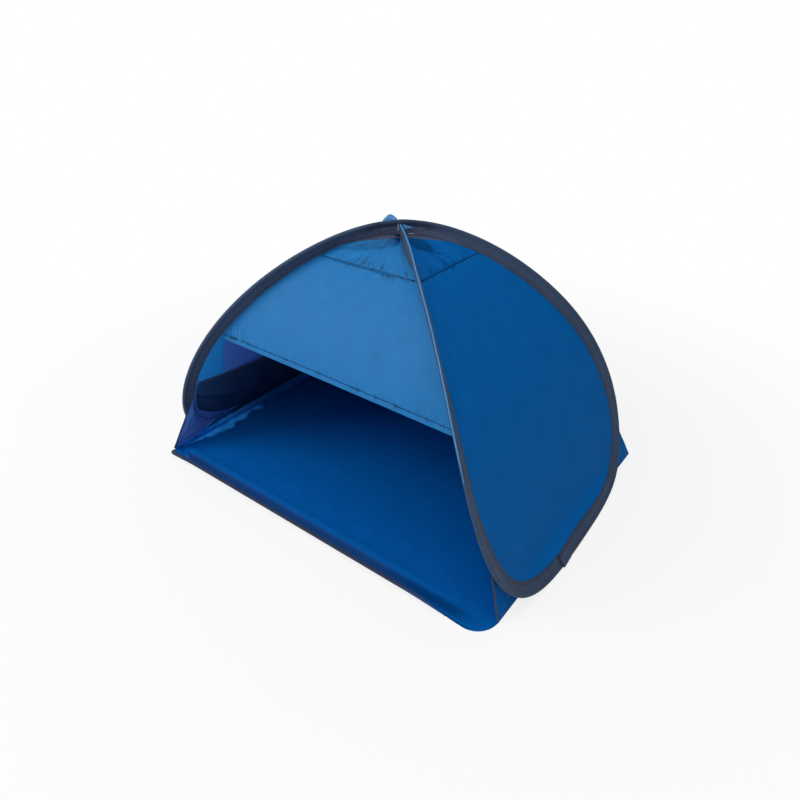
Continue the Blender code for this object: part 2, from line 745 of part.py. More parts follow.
def side_tape(name, columns):
    # the tape over the side's seam: from the floor's doorway corner it climbs to the sleeve and
    # then runs along under it towards the back
    shares = SIDE_TAPE_SHARES + [0.0] * (len(columns) - len(SIDE_TAPE_SHARES) - 2)
    rows = [[], []]
    for (column, after, share) in zip(columns[1:], columns[2:], shares):
        top, bottom = column[0], column[1]
        length = (bottom - top).length
        middle = max(share * length, SIDE_TAPE_DROP + TAPE_W / 2)
        for row, edge in zip(rows, (middle - TAPE_W / 2, middle + TAPE_W / 2)):
            f = edge / length
            p = skirt_point(column, f)
            out = (skirt_point(column, f + 0.05) - p).cross(skirt_point(after, f) - p).normalized()
            if out.dot(column[2]) < 0:
                out = -out
            row.append(p + out * (CLOTH_T + TAPE_GAP))
    sheet(name, rows, "binding")


def build_skirts():
    for sx, side in ((-1, "left"), (1, "right")):
        columns = skirt_columns(sx)
        rows = [[skirt_point(column, f) for column in columns] for f in (0.0, 0.12, 0.30, 0.52, 0.76, 1.0)]
        sheet("skirt_" + side, rows, "cloth")
        side_tape("side_tape_" + side, columns)
        # the tape on the doorway edge of the gusset
        top, bottom = columns[0][0], columns[0][1]
        way = (bottom - top).normalized()
        out = Vector((0.0, -1.0, 0.0))
        out = (out - way * out.dot(way)).normalized()
        flat = way.cross(out).normalized()
        points = [top.lerp(bottom, 0.34), top.lerp(bottom, 0.60), bottom - way * 0.0050]
        middle = CLOTH_T / 2 + TOUCH_GAP + EDGE_TAPE_W / 2
        sections = []
        for p in points:
            centre = p + out * middle
            sections.append([centre + out * (EDGE_TAPE_W / 2) * a + flat * (EDGE_TAPE_T / 2) * b
                             for a, b in ((1, 1), (-1, 1), (-1, -1), (1, -1))])
        solid_loft("corner_binding_" + side, sections, "binding")


def pocket_top(u):
    return POCKET_T + 0.022 * (1.0 - abs(u) ** 1.7)


def pocket_bottom(u):
    return PANEL_END_T - POCKET_CORNER_RISE * max((abs(u) - 0.35) / 0.65, 0.0) ** 3


def build_pocket():
    us = [0.985 * u for u in spread(16)]
    rows = []
    for f in steps(0.0, 1.0, 8):
        row = []
        for u in us:
            belly = 0.0020 + POCKET_BELLY * math.sin(math.pi * min(f * 1.05, 1.0)) ** 0.9 * (1 - u ** 4)
            belly += PUCKER * math.sin(5.0 * u + 4.0 * f) * math.sin(math.pi * f)
            t = pocket_top(u) + (pocket_bottom(u) - pocket_top(u)) * f
            row.append(side_point(t, u, -1, inset=0.0030, sag=side_sag(t, u) + belly))
        rows.append(row)
    sheet("inner_pocket", rows, "mesh")
    points = []
    for u in us:
        t = pocket_top(u) - 0.0045
        points.append(side_point(t, u, -1, inset=0.0030, sag=side_sag(t, u) + 2 * POCKET_TAPE_R))
    rod("pocket_binding", points, POCKET_TAPE_R, "binding")


def build_pipings():
    # a light blue cord along the outer edge of the run that passes below
    start = UNDER_T + 0.004
    for sx, name in ((-1, "piping_left"), (1, "piping_right")):
        points = []
        for t in steps(start, HEM_T + 0.068, 24):
            p = wire_at(t, sx, -sx)
            q = seam_at(t, sx, -sx)
            points.append(p + (p - q).normalized() * (POCKET_R + TOUCH_GAP + PIPING_R))
        rod(name, points, PIPING_R, "piping")


def build_tie():
    # the small light blue tie that shows below the crossing on the right
    near = t_at_length(0.006)
    far = t_at_length(0.024)
    p = wire_at(near, 1, 1)
    along = (wire_at(far, 1, 1) - p).normalized()
    down = (seam_at(near, 1, 1) - p).normalized()
    side = Vector((along.y, -along.x, 0.0)).normalized()
    base = p + side * (POCKET_R + 0.0012)
    rows = [[base + along * x + down * z for x, z in TIE_TOP], [base + along * x + down * z for x, z in TIE_LOW]]
    sheet("crossing_tie", rows, "piping")


def hang_right_side():
    # the right side's pieces hang from a pivot on the turning line of the fold
    pivot = bpy.data.objects.new("side_fold_pivot", None)
    pivot.location = (0.0, 0.0, APEX_Z)
    bpy.data.collections[COLLECTION].objects.link(pivot)
    for name in RIGHT_SIDE:
        obj = bpy.data.objects[name]
        obj.parent = pivot
        obj.matrix_parent_inverse = Matrix.Translation(-pivot.location)


def main():
    clear_scene()
    build_wires()
    build_sleeves()
    build_side_panels()
    build_crown()
    build_visor()
    build_back_panel()
    build_floor()
    build_front_binding()
    build_skirts()
    build_pocket()
    build_pipings()
    build_tie()
    hang_right_side()


main()
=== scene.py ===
import json
import math

import bmesh
import bpy
from bpy.props import FloatProperty, FloatVectorProperty, PointerProperty
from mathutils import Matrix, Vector, noise


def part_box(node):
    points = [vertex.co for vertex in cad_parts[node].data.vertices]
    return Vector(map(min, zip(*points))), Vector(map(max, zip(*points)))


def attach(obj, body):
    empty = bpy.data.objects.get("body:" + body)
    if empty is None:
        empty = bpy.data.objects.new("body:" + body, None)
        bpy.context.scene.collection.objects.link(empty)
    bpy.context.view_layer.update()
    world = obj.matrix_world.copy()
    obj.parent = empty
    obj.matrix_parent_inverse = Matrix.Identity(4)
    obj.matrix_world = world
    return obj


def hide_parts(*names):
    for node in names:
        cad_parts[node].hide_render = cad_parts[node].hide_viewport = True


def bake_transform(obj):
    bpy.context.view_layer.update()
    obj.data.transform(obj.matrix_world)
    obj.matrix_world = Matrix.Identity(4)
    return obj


bl_info = {
    "name": "Pop-up sun tent",
    "version": (1, 0, 0),
    "blender": (4, 5, 0),
    "location": "View3D > Sidebar > Tent",
    "description": "Builds the cloth, sleeves and seams of a small pop-up sun tent around its frame",
    "category": "Add Mesh",
}

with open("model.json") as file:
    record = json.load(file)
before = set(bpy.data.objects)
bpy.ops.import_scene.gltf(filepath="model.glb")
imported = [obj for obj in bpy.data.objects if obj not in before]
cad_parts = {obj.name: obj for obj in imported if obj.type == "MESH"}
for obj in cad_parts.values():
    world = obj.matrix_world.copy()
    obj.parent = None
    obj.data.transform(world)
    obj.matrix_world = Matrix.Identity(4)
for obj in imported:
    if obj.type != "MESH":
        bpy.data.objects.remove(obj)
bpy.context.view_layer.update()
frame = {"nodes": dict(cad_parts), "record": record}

# Sizes of the frame, in metres. X is the width, -Y is the doorway side, Z is up.
APEX_Z = frame["record"]["behaviour"]["joints"][0]["pos_m"][2]
# the tube of the sleeve around the wire, and the sleeve's width from the wire to its seam
SLEEVE_TUBE_R = 0.0030
SLEEVE_WIDTH = 0.0185
WIRE_HALF_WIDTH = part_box("sleeve_right")[1].x - SLEEVE_TUBE_R
WIRE_HALF_DEPTH = 0.2300
WIRE_LOW_Z = 0.0046
# how much lower the lower run passes at the crossing
UNDER_RUN_DROP = 0.0048
# how far the lower run's sleeve leans over, close to the crossing and further down, with the
# shares of a leg over which it grows and fades again, and which way it leans
LEAN_NEAR, LEAN_NEAR_GROWS, LEAN_NEAR_FADES = 0.0043, 0.06, (0.08, 0.14)
LEAN_FAR, LEAN_FAR_GROWS, LEAN_FAR_FADES = 0.0037, 0.10, (0.19, 0.29)
LEAN_WAY = (-0.68, 0.73)
# how far the floor's back edge lies to the right and its doorway edge to the left
FLOOR_SKEW = 0.0075
FLOOR_HALF_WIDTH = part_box("floor")[1].x - FLOOR_SKEW
FLOOR_FRONT_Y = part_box("floor")[0].y
FLOOR_BACK_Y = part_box("floor")[1].y + 0.0012
# the radius of the floor's doorway corners, and how far behind them the gussets begin, by sx
CORNER_R = {-1: 0.0140, 1: 0.0360}
GUSSET_SETBACK = {-1: 0.0100, 1: 0.0340}
# how far back the floor's raised doorway edge reaches, and how high it stands
LIP_DEPTH = 0.0235
LIP_RISE = 0.0085
SEAM_TAPE_WIDTH = 0.0050
# how far the light blue facing of the sleeve goes on behind the crossing
FACING_LENGTH = 0.140
# where the piping starts after the crossing and ends past the hem, as shares of a leg
PIPING_START_T = 0.002
PIPING_PAST_HEM_T = 0.068
# how deep the sides, the back and the visor hang in at their middle
SIDE_HOLLOW = 0.0075
BACK_HOLLOW = 0.0060
VISOR_HOLLOW = 0.0055
# where the crown's stitches run, as a share of the way from a gore's top to its seam
CROWN_STITCH_F = 0.972

# How far from the crossing the sleeve of the upper and of the lower run begins.
UPPER_SLEEVE_START = 0.0300
LOWER_SLEEVE_START = 0.0085

# How long the cloths are from their upper to their lower edge, along the middle.
SIDE_LENGTH = 0.420
CROWN_LENGTH = 0.043
VISOR_LENGTH = 0.205
BACK_LENGTH = 0.460
# The share of a side and of the back that hangs straight between the legs; the rest turns in.
SIDE_STRAIGHT = 0.93
BACK_STRAIGHT = 0.76

# Half of the width over which a cloth bends when the right side folds down to the left one;
# the stitching's rows carry these, but nothing here bends the cloth.
CROWN_BEND = 0.034
CLOTH_BEND = 0.085

# The two sides with their sign along X, and the two sleeves, which hold most of the cloths.
SIDES = {"left": -1, "right": 1}

# Where each piece's uneven waves start, so that no two pieces show the same ones.
SLEEVE_SEEDS = {"left": 3.0, "right": 21.0}
SIDE_SEEDS = {"left": 40.0, "right": 55.0}
CROWN_SEEDS = {"left": 70.0, "right": 74.0, "front": 78.0, "back": 82.0}
WEB_SEEDS = {"left": 90.0, "right": 92.0, "front": 94.0, "back": 96.0}
VISOR_SEED = 110.0
BACK_SEED = 130.0
FLOOR_SEED = 150.0
SKIRT_SEEDS = {"left": 170.0, "right": 175.0}
POCKET_SEED = 190.0

# Where the seams lie, as shares of the way down a leg from the crossing.
# the webbing's lower tip and its end by the crossing
WEB_TIP_T = 0.086
WEB_NEAR_T = 0.008
# the gores' tops on the upper and on the lower run, and how their edge curves in between
CROWN_TOP_T = 0.088
CROWN_TOP_UNDER_T = 0.008
CROWN_TOP_CURVE = 2.5
# the crown's cross seams, the visor's hem, the pocket's top and the gussets' upper tip
SEAM_T = 0.137
HEM_T = 0.372
POCKET_T = 0.515
GUSSET_T = 0.560
# where the sides' straight part ends, how much the pocket's lower corners are rounded there, and
# the place that gives the width of the sides' bottom edge
PANEL_END_T = 0.765
POCKET_CORNER_RISE = 0.130
BOTTOM_T = 0.800

# The legs' quarter route, as the frame has it: shares of the reach to the side, of the reach to
# the doorway and of the height, and the way from the wire to the seam in sleeve widths.
WIRE_ROUTE = [
    (0.000, 0.000, 1.000), (0.245, 0.361, 0.931), (0.470, 0.662, 0.778),
    (0.652, 0.886, 0.586), (0.790, 1.000, 0.374), (0.887, 0.970, 0.178),
    (0.958, 0.776, 0.041), (0.992, 0.430, 0.000), (1.000, 0.000, 0.003),
]
SLEEVE_WAY = [
    (0.00, 0.00, -0.98), (0.04, -0.61, -0.81), (-0.19, -0.69, -0.74),
    (-0.20, -0.86, -0.51), (-0.23, -0.97, -0.22), (-0.23, -0.97, 0.22),
    (-0.56, -0.56, 0.65), (-0.45, -0.05, 0.89), (-0.61, 0.00, 0.83),
]

# The camera, found by fitting the floor, the legs and the crossing to the photograph.
CAMERA_AT = (0.54831, -0.73603, 0.70497)
CAMERA_LOOKS_AT = (0.1178, -0.1567, 0.2454)
CAMERA_LENS = 27.325

# The soft lamps: name, place, size and watts.
LAMPS = (
    ("key_lamp", (-1.3, -1.55, 1.55), 1.1, 24.0), ("front_lamp", (0.3, -1.3, 2.2), 1.4, 12.5),
    ("fill_lamp", (0.9, -1.7, 1.0), 1.2, 2.0), ("side_lamp", (1.9, -0.6, 1.8), 1.4, 8.3),
    ("top_lamp", (0.1, 0.2, 2.4), 1.6, 11.3),
)
LAMPS_LOOK_AT = (0.0, 0.0, 0.2)
WHITE = (1.0, 1.0, 1.0, 1.0)


class TentSizes(bpy.types.PropertyGroup):
    """Sizes of the sewn details"""
    cloth_thickness: FloatProperty(
        name="Cloth", description="Thickness of the coated cloth", default=0.0004, unit="LENGTH")
    hem_width: FloatProperty(
        name="Hem", description="Width of the folded hem of the visor", default=0.0085, unit="LENGTH")
    stitch_length: FloatProperty(
        name="Stitch", description="Length of one stitch", default=0.0030, unit="LENGTH")
    stitch_gap: FloatProperty(
        name="Stitch gap", description="Gap between two stitches", default=0.0009, unit="LENGTH")
    thread_radius: FloatProperty(
        name="Thread", description="Radius of the sewing thread", default=0.00042, unit="LENGTH")
    pucker_depth: FloatProperty(
        name="Pucker", description="Depth of the gathers along a seam", default=0.0038, unit="LENGTH")
    piping_radius: FloatProperty(
        name="Piping", description="Radius of the light blue piping", default=0.0011, unit="LENGTH")


class TentColours(bpy.types.PropertyGroup):
    """Colours of the cloths and trims"""
    panel: FloatVectorProperty(
        name="Panels", description="Cloth of the sides, the crown and the back",
        subtype="COLOR", size=3, min=0, max=1, default=(0.002, 0.124, 0.430))
    # painted light: the panels' blue painted lighter and paler, as if in stronger light; the tint's painted
    # light mixes towards it too
    visor: FloatVectorProperty(
        name="Visor", description="Cloth over the doorway",
        subtype="COLOR", size=3, min=0, max=1, default=(0.014, 0.180, 0.475))
    floor: FloatVectorProperty(
        name="Floor", description="Coated cloth of the floor",
        subtype="COLOR", size=3, min=0, max=1, default=(0.001, 0.112, 0.425))
    sleeve: FloatVectorProperty(
        name="Sleeve", description="Cloth around the wire",
        subtype="COLOR", size=3, min=0, max=1, default=(0.044, 0.074, 0.142))
    edging: FloatVectorProperty(
        name="Edging", description="Tape along the sleeve's seam and the floor's front edge",
        subtype="COLOR", size=3, min=0, max=1, default=(0.048, 0.062, 0.112))
    web: FloatVectorProperty(
        name="Webbing", description="Grey cloth between the crown and the crossing",
        subtype="COLOR", size=3, min=0, max=1, default=(0.074, 0.096, 0.160))
    # painted shade: the coated inside's purple cast, also used as the colour of painted shade inside the
    # tent and in the floor's valley
    coating_and_shade: FloatVectorProperty(
        name="Coating", description="Purple cast of the cloth's coated inside",
        subtype="COLOR", size=3, min=0, max=1, default=(0.060, 0.150, 0.470))
    pocket: FloatVectorProperty(
        name="Pocket", description="Dark cloth of the inner pocket",
        subtype="COLOR", size=3, min=0, max=1, default=(0.013, 0.042, 0.122))
    piping: FloatVectorProperty(
        name="Piping", description="Light blue piping and tie",
        subtype="COLOR", size=3, min=0, max=1, default=(0.080, 0.300, 0.640))
    thread: FloatVectorProperty(
        name="Thread", description="Dark blue sewing thread",
        subtype="COLOR", size=3, min=0, max=1, default=(0.003, 0.027, 0.095))


def through(values, flat_start, flat_end):
    # a cubic spline through evenly spaced values; an end is either flat or free
    n = len(values)
    h = 1.0 / (n - 1)
    below, middle, above, right = [0.0] * n, [0.0] * n, [0.0] * n, [0.0] * n
    middle[0] = 1.0
    middle[-1] = 1.0
    if flat_start:
        middle[0], above[0], right[0] = 2.0, 1.0, 6.0 * (values[1] - values[0]) / h / h
    if flat_end:
        below[-1], middle[-1], right[-1] = 1.0, 2.0, -6.0 * (values[-1] - values[-2]) / h / h
    for i in range(1, n - 1):
        below[i], middle[i], above[i] = 1.0, 4.0, 1.0
        right[i] = 6.0 * (values[i + 1] - 2.0 * values[i] + values[i - 1]) / h / h
    for i in range(1, n):
        share = below[i] / middle[i - 1]
        middle[i] -= share * above[i - 1]
        right[i] -= share * right[i - 1]
    bend = [0.0] * n
    bend[-1] = right[-1] / middle[-1]
    for i in range(n - 2, -1, -1):
        bend[i] = (right[i] - above[i] * bend[i + 1]) / middle[i]

    def at(t):
        i = min(max(int(t / h), 0), n - 2)
        u = t - i * h
        v = h - u
        return ((bend[i] * v ** 3 + bend[i + 1] * u ** 3) / (6 * h)
                + (values[i] / h - bend[i] * h / 6) * v
                + (values[i + 1] / h - bend[i + 1] * h / 6) * u)

    return at


def route():
    wire = [(x * WIRE_HALF_WIDTH, -y * WIRE_HALF_DEPTH, WIRE_LOW_Z + z * (APEX_Z - WIRE_LOW_Z))
            for x, y, z in WIRE_ROUTE]
    seam = [(p[0] + SLEEVE_WIDTH * x, p[1] - SLEEVE_WIDTH * y, p[2] + SLEEVE_WIDTH * z)
            for p, (x, y, z) in zip(wire, SLEEVE_WAY)]
    ways = []
    for points in (wire, seam):
        ways.append((through([p[0] for p in points], False, True),
                     through([p[1] for p in points], False, False),
                     through([p[2] for p in points], True, True)))
    return ways


(WX, WY, WZ), (QX, QY, QZ) = route()


def smooth(x):
    x = min(max(x, 0.0), 1.0)
    return x * x * (3.0 - 2.0 * x)


def bell(x, width):
    # 1 at 0, falling to nothing about two widths away on both sides
    return math.exp(-(x / width) ** 2)


def drop(t, under):
    # the run that passes below dips under the other one at the crossing
    return UNDER_RUN_DROP * (1.0 - smooth(t / 0.14)) if under else 0.0


# In what follows sx is +1 on the right side; sy is -1 on the doorway side and +1 at the back.
# The run from the front left leg to the back right one lies on top.
def wire_at(t, sx, sy):
    return Vector((sx * WX(t), -sy * WY(t), WZ(t) - drop(t, sx * sy < 0)))


def fades(t, places):
    return 1.0 - smooth((t - places[0]) / (places[1] - places[0]))


def lean_at(t):
    # close to the crossing the lower run's sleeve leans over, along the line of the upper run
    near = LEAN_NEAR * smooth(t / LEAN_NEAR_GROWS) * fades(t, LEAN_NEAR_FADES)
    return near + LEAN_FAR * smooth(t / LEAN_FAR_GROWS) * fades(t, LEAN_FAR_FADES)


def seam_at(t, sx, sy):
    under = sx * sy < 0
    seam = Vector((sx * QX(t), -sy * QY(t), QZ(t) - drop(t, under)))
    if not under or t <= 0.0:
        return seam
    wire = wire_at(t, sx, sy)
    reach = seam - wire
    leaned = reach + lean_at(t) * Vector((LEAN_WAY[0] * sx, LEAN_WAY[1] * sy, 0.0))
    return wire + leaned * (reach.length / leaned.length)


def t_at_length(length):
    # the share of a leg that lies at this length from the crossing
    steps = 2000
    total, last, k = 0.0, wire_at(0.0, 1, 1), 0
    while total < length:
        k += 1
        now = wire_at(k / steps, 1, 1)
        total += (now - last).length
        last = now
    return k / steps


def t_at_y(fn, y):
    # the lower run only, where |y| falls steadily towards the middle
    lo, hi = 0.70, 1.0
    for _ in range(30):
        mid = 0.5 * (lo + hi)
        if abs(fn(mid)) > abs(y):
            lo = mid
        else:
            hi = mid
    return 0.5 * (lo + hi)


TOP_T = t_at_length(UPPER_SLEEVE_START)
UNDER_T = t_at_length(LOWER_SLEEVE_START)


def between(start, end, u, inset):
    # a point on the line from start to end, u from -1 to 1, kept clear of both of them
    share = inset / (end - start).length
    return start.lerp(end, share + (1.0 - 2.0 * share) * (0.5 + 0.5 * u))


def side_point(t, u, sx, inset=0.0, lift=0.0):
    # a line across one side, from its doorway leg to its back leg; lift is outwards
    p = between(seam_at(t, sx, -1), seam_at(t, sx, 1), u, inset)
    dx = QX(t + 0.004) - QX(t - 0.004)
    dz = QZ(t + 0.004) - QZ(t - 0.004)
    return p - Vector((sx * dz, 0.0, -dx)) * (lift / math.hypot(dx, dz))


def across_point(t, u, sy, inset=0.0, lift=0.0):
    # a line across the doorway side or the back, from left leg to right leg
    p = between(seam_at(t, -1, sy), seam_at(t, 1, sy), u, inset)
    dy = QY(t - 0.004) - QY(t + 0.004)
    dz = QZ(t + 0.004) - QZ(t - 0.004)
    return p - Vector((0.0, sy * dz, -dy)) * (lift / math.hypot(dy, dz))


def floor_shift(y):
    return FLOOR_SKEW * (2.0 * (y - FLOOR_FRONT_Y) / (FLOOR_BACK_Y - FLOOR_FRONT_Y) - 1.0)


def floor_side(y, sx):
    # where the floor's side lies at a given depth: its doorway corners are rounded
    r = CORNER_R[sx]
    d = y - FLOOR_FRONT_Y
    cut = r - math.sqrt(max(r * r - (r - d) ** 2, 0.0)) if d < r else 0.0
    return sx * (FLOOR_HALF_WIDTH - cut) + floor_shift(y)


def floor_x(u, y):
    left, right = floor_side(y, -1), floor_side(y, 1)
    return left + (right - left) * (0.5 + 0.5 * u)


def lip_height(x, y):
    # the doorway edge stands up a little, less towards the right corner
    d = min(max((y - FLOOR_FRONT_Y) / LIP_DEPTH, 0.0), 1.0)
    share = (x - floor_shift(y)) / FLOOR_HALF_WIDTH
    fade = (1.0 - smooth((share - 0.64) / 0.29)) * (1.0 - 0.40 * smooth((-share - 0.76) / 0.23))
    return LIP_RISE * (1.0 - d) ** 1.35 * fade


def crown_top(u, sign):
    # the gores start lower on the run that passes over the crossing than on the other one
    over = 0.5 + 0.5 * u * sign
    return CROWN_TOP_UNDER_T + (CROWN_TOP_T - CROWN_TOP_UNDER_T) * over ** CROWN_TOP_CURVE


def web_end(t, sign):
    # how far across a gore the webbing reaches at t, from its end on the upper run
    share = max(t - CROWN_TOP_UNDER_T, 0.0) / (CROWN_TOP_T - CROWN_TOP_UNDER_T)
    return sign * (2.0 * share ** (1.0 / CROWN_TOP_CURVE) - 1.0)


def ripple(x, y, size, seed):
    # smooth uneven waves about one size long, from -1 to 1
    return noise.noise(Vector((x / size, y / size, seed)))


def gathers(x, seed):
    # the short irregular puckers that a seam draws into thin cloth
    return ripple(x, 0.0068, 0.0135, seed + 0.5) + 0.6 * ripple(x, 0.0032, 0.0063, seed + 7.5)


def tucks(x, seed):
    # the sharp little folds between the puckers, as narrow lines from 0 to about 1
    line = bell(ripple(x, 0.0080, 0.0160, seed + 3.5), 0.075)
    line = max(line, 0.8 * bell(ripple(x, 0.0057, 0.0115, seed + 9.5), 0.055))
    return line * max(0.55 + 1.3 * ripple(x, 0.0110, 0.0220, seed + 5.5), 0.0)


def crease(u, v, start, end, width, height):
    # one soft fold from start to end, highest at its middle
    ax, ay = end[0] - start[0], end[1] - start[1]
    length = math.hypot(ax, ay)
    along = ((u - start[0]) * ax + (v - start[1]) * ay) / length ** 2
    off = ((u - start[0]) * ay - (v - start[1]) * ax) / length
    if not -0.3 < along < 1.3:
        return 0.0
    ends = smooth((along + 0.3) / 0.5) * smooth((1.3 - along) / 0.5)
    return height * ends * bell(off, width)


def new_object(name, bm):
    mesh = bpy.data.meshes.new(name)
    bmesh.ops.recalc_face_normals(bm, faces=bm.faces)
    bm.to_mesh(mesh)
    bm.free()
    mesh.shade_smooth()
    obj = bpy.data.objects.new(name, mesh)
    bpy.context.scene.collection.objects.link(obj)
    return obj


# the tint of a piece in its own plain colour
PLAIN = (0.0, 1.0, 0.0)


def grid_piece(name, across, along, place, width, length, finish, spread=None, tint=None):
    # cloth: a grid whose points go where place(u, f) says, u from -1 to 1 and f from 0 to 1;
    # spread moves the grid's lines closer together where the cloth has fine detail, and tint
    # gives each point its share of the purple cast, its lightness and its paleness, as painted light and
    # shade
    bm = bmesh.new()
    layer = bm.loops.layers.uv.new("UVMap")
    bmesh.ops.create_grid(bm, x_segments=across, y_segments=along, size=1.0)
    if spread:
        for vert in bm.verts:
            vert.co.x, vert.co.y = spread(vert.co.x, vert.co.y)
    shade = bm.verts.layers.float_color.new("tint")
    for vert in bm.verts:
        vert[shade] = (*(tint(vert.co.x, 0.5 + 0.5 * vert.co.y) if tint else PLAIN), 1.0)
    for face in bm.faces:
        for loop in face.loops:
            flat = loop.vert.co
            loop[layer].uv = (0.5 * width * flat.x, 0.5 * length * (1.0 + flat.y))
    for vert in bm.verts:
        vert.co = place(vert.co.x, 0.5 + 0.5 * vert.co.y)
    obj = new_object(name, bm)
    obj.data.materials.append(finish)
    return obj


def thicken(obj, thickness):
    mod = obj.modifiers.new("cloth thickness", "SOLIDIFY")
    mod.thickness = thickness
    mod.offset = 0.0
    mod.use_even_offset = False


def cloth_piece(name, across, along, place, width, length, finish,
                spread=None, tint=None):
    obj = grid_piece(name, across, along, place, width, length, finish, spread, tint)
    thicken(obj, bpy.context.scene.tent_sizes.cloth_thickness)
    return obj


def band_piece(name, count, ring, finish, tint=None):
    # a closed section carried along a run: ring(k) gives the section's points at station k
    first = ring(0)
    bm = bmesh.new()
    layer = bm.loops.layers.uv.new("UVMap")
    shade = bm.verts.layers.float_color.new("tint")
    bmesh.ops.create_grid(bm, x_segments=len(first), y_segments=count, size=1.0)
    rings = [ring(k) for k in range(count + 1)]
    girth = sum((a - b).length for a, b in zip(first, first[1:] + first[:1]))
    length = sum((rings[k][0] - rings[k + 1][0]).length for k in range(count))
    places = {}
    for vert in bm.verts:
        i = round((vert.co.x + 1.0) / 2.0 * len(first))
        k = round((vert.co.y + 1.0) / 2.0 * count)
        places[vert] = (i, k)
    for face in bm.faces:
        for loop in face.loops:
            i, k = places[loop.vert]
            loop[layer].uv = (i / len(first) * girth, k / count * length)
    for vert, (i, k) in places.items():
        vert[shade] = (*(tint(k) if tint else PLAIN), 1.0)
        vert.co = rings[k][i % len(first)]
    bmesh.ops.remove_doubles(bm, verts=bm.verts, dist=1e-7)
    bmesh.ops.holes_fill(bm, edges=[e for e in bm.edges if e.is_boundary], sides=0)
    obj = new_object(name, bm)
    obj.data.materials.append(finish)
    return obj


def directions(points, seams):
    # for each point of a run: along it, towards the seam, and square to both
    out = []
    for k, p in enumerate(points):
        a = points[max(k - 1, 0)]
        b = points[min(k + 1, len(points) - 1)]
        along = (b - a).normalized()
        inward = seams[k] - p
        inward = (inward - along * inward.dot(along)).normalized()
        out.append((along, inward, along.cross(inward).normalized()))
    return out


def round_ring(p, inward, side, radius, count):
    return [p + inward * radius * math.cos(math.tau * i / count)
            + side * radius * math.sin(math.tau * i / count) for i in range(count)]


def outward(place, u, f):
    # square to a cloth at one of its points, away from the tent's middle
    middle = Vector((0.0, 0.0, 0.15))
    p = place(u, f)
    out = (place(u + 0.004, f) - place(u - 0.004, f)).cross(place(u, f + 0.02) - place(u, f - 0.02))
    return out.normalized() if out.dot(p - middle) > 0 else -out.normalized()


def tack(name, centre, along, out, length, width, finish):
    # a dense block of stitches, side by side, that locks the end of a seam
    across = along.cross(out).normalized()
    count = 7
    bm = bmesh.new()
    for i in range(count):
        shift = length * ((i + 0.5) / count - 0.5)
        made = bmesh.ops.create_uvsphere(bm, u_segments=6, v_segments=4, radius=1.0)["verts"]
        half = 0.5 * width * (1.0 + 0.2 * ripple(i * 0.7, 0.0, 1.0, length * 900.0))
        for vert in made:
            x, y, z = vert.co
            vert.co = (centre + along * (shift + 0.62 * length / count * x) + across * half * z
                       + out * 0.00045 * y)
    obj = new_object(name, bm)
    obj.data.materials.append(finish)
    return obj


def stitch_row(name, points, outs, finish):
    # a row of short rounded stitches along a line of closely spaced points
    sizes = bpy.context.scene.tent_sizes
    pitch = sizes.stitch_length + sizes.stitch_gap
    bm = bmesh.new()
    run, k, start = 0.0, 0, 0.4 * pitch
    while k < len(points) - 1:
        step = (points[k + 1] - points[k]).length
        if run + step >= start and step > 0:
            p = points[k].lerp(points[k + 1], (start - run) / step)
            along = (points[k + 1] - points[k]).normalized()
            out = outs[k]
            side = along.cross(out).normalized()
            made = bmesh.ops.create_uvsphere(bm, u_segments=6, v_segments=4, radius=1.0)["verts"]
            half = 0.5 * sizes.stitch_length
            wobble = 0.12 * ripple(start, 0.0, 0.004, 3.0)
            for vert in made:
                x, y, z = vert.co
                vert.co = (p + (along + side * wobble) * z * half + side * x * sizes.thread_radius * 1.2
                           + out * (y * sizes.thread_radius + 0.00005))
            start += pitch
        else:
            run += step
            k += 1
    obj = new_object(name, bm)
    obj.data.materials.append(finish)
    return obj


class Nodes:
    """Adds and joins the nodes of one material"""

    def __init__(self, name):
        self.material = bpy.data.materials.new(name)
        self.material.use_nodes = True
        self.tree = self.material.node_tree
        self.shader = self.tree.nodes["Principled BSDF"]

    def add(self, kind, **values):
        node = self.tree.nodes.new(kind)
        for key, value in values.items():
            if key in node.inputs:
                node.inputs[key].default_value = value
            else:
                setattr(node, key, value)
        return node

    def join(self, source, target):
        self.tree.links.new(source, target)

    def plain(self, values):
        # the shader's values that are the same all over the surface
        for name, value in values.items():
            self.shader.inputs[name].default_value = value

    def varied(self, sources):
        # the shader's values that change over the surface
        for name, source in sources.items():
            self.join(source, self.shader.inputs[name])

    def maths(self, operation, *values):
        node = self.add("ShaderNodeMath", operation=operation)
        for slot, value in enumerate(values):
            if isinstance(value, (int, float)):
                node.inputs[slot].default_value = value
            else:
                self.join(value, node.inputs[slot])
        return node.outputs[0]

    def speckle(self, place, scale, detail, roughness):
        node = self.add("ShaderNodeTexNoise", **{"Scale": scale, "Detail": detail, "Roughness": roughness})
        self.join(place, node.inputs["Vector"])
        return node.outputs["Fac"]

    def bands(self, place, direction, values):
        node = self.add("ShaderNodeTexWave", wave_type="BANDS", bands_direction=direction, **values)
        self.join(place, node.inputs["Vector"])
        return node.outputs["Fac"]

    def ramp(self, source, first, last, span=(0.0, 1.0)):
        node = self.add("ShaderNodeValToRGB")
        for element, position, colour in zip(node.color_ramp.elements, span, (first, last)):
            element.position = position
            element.color = (*colour, 1.0)
        self.join(source, node.inputs["Fac"])
        return node.outputs["Color"]

    def bump(self, height, strength, distance, normal=None):
        node = self.add("ShaderNodeBump", **{"Strength": strength, "Distance": distance})
        self.join(height, node.inputs["Height"])
        if normal is not None:
            self.join(normal, node.inputs["Normal"])
        return node.outputs["Normal"]


def weave_height(n, uv, thread):
    # plain weave: two sets of threads, a little uneven, as a height from 0 to 1
    values = {"Scale": WAVE_LENGTH / thread, "Distortion": 0.6, "Detail": 1.0, "Detail Scale": 0.4}
    return n.maths("MULTIPLY", n.bands(uv, "X", values), n.bands(uv, "Y", values))


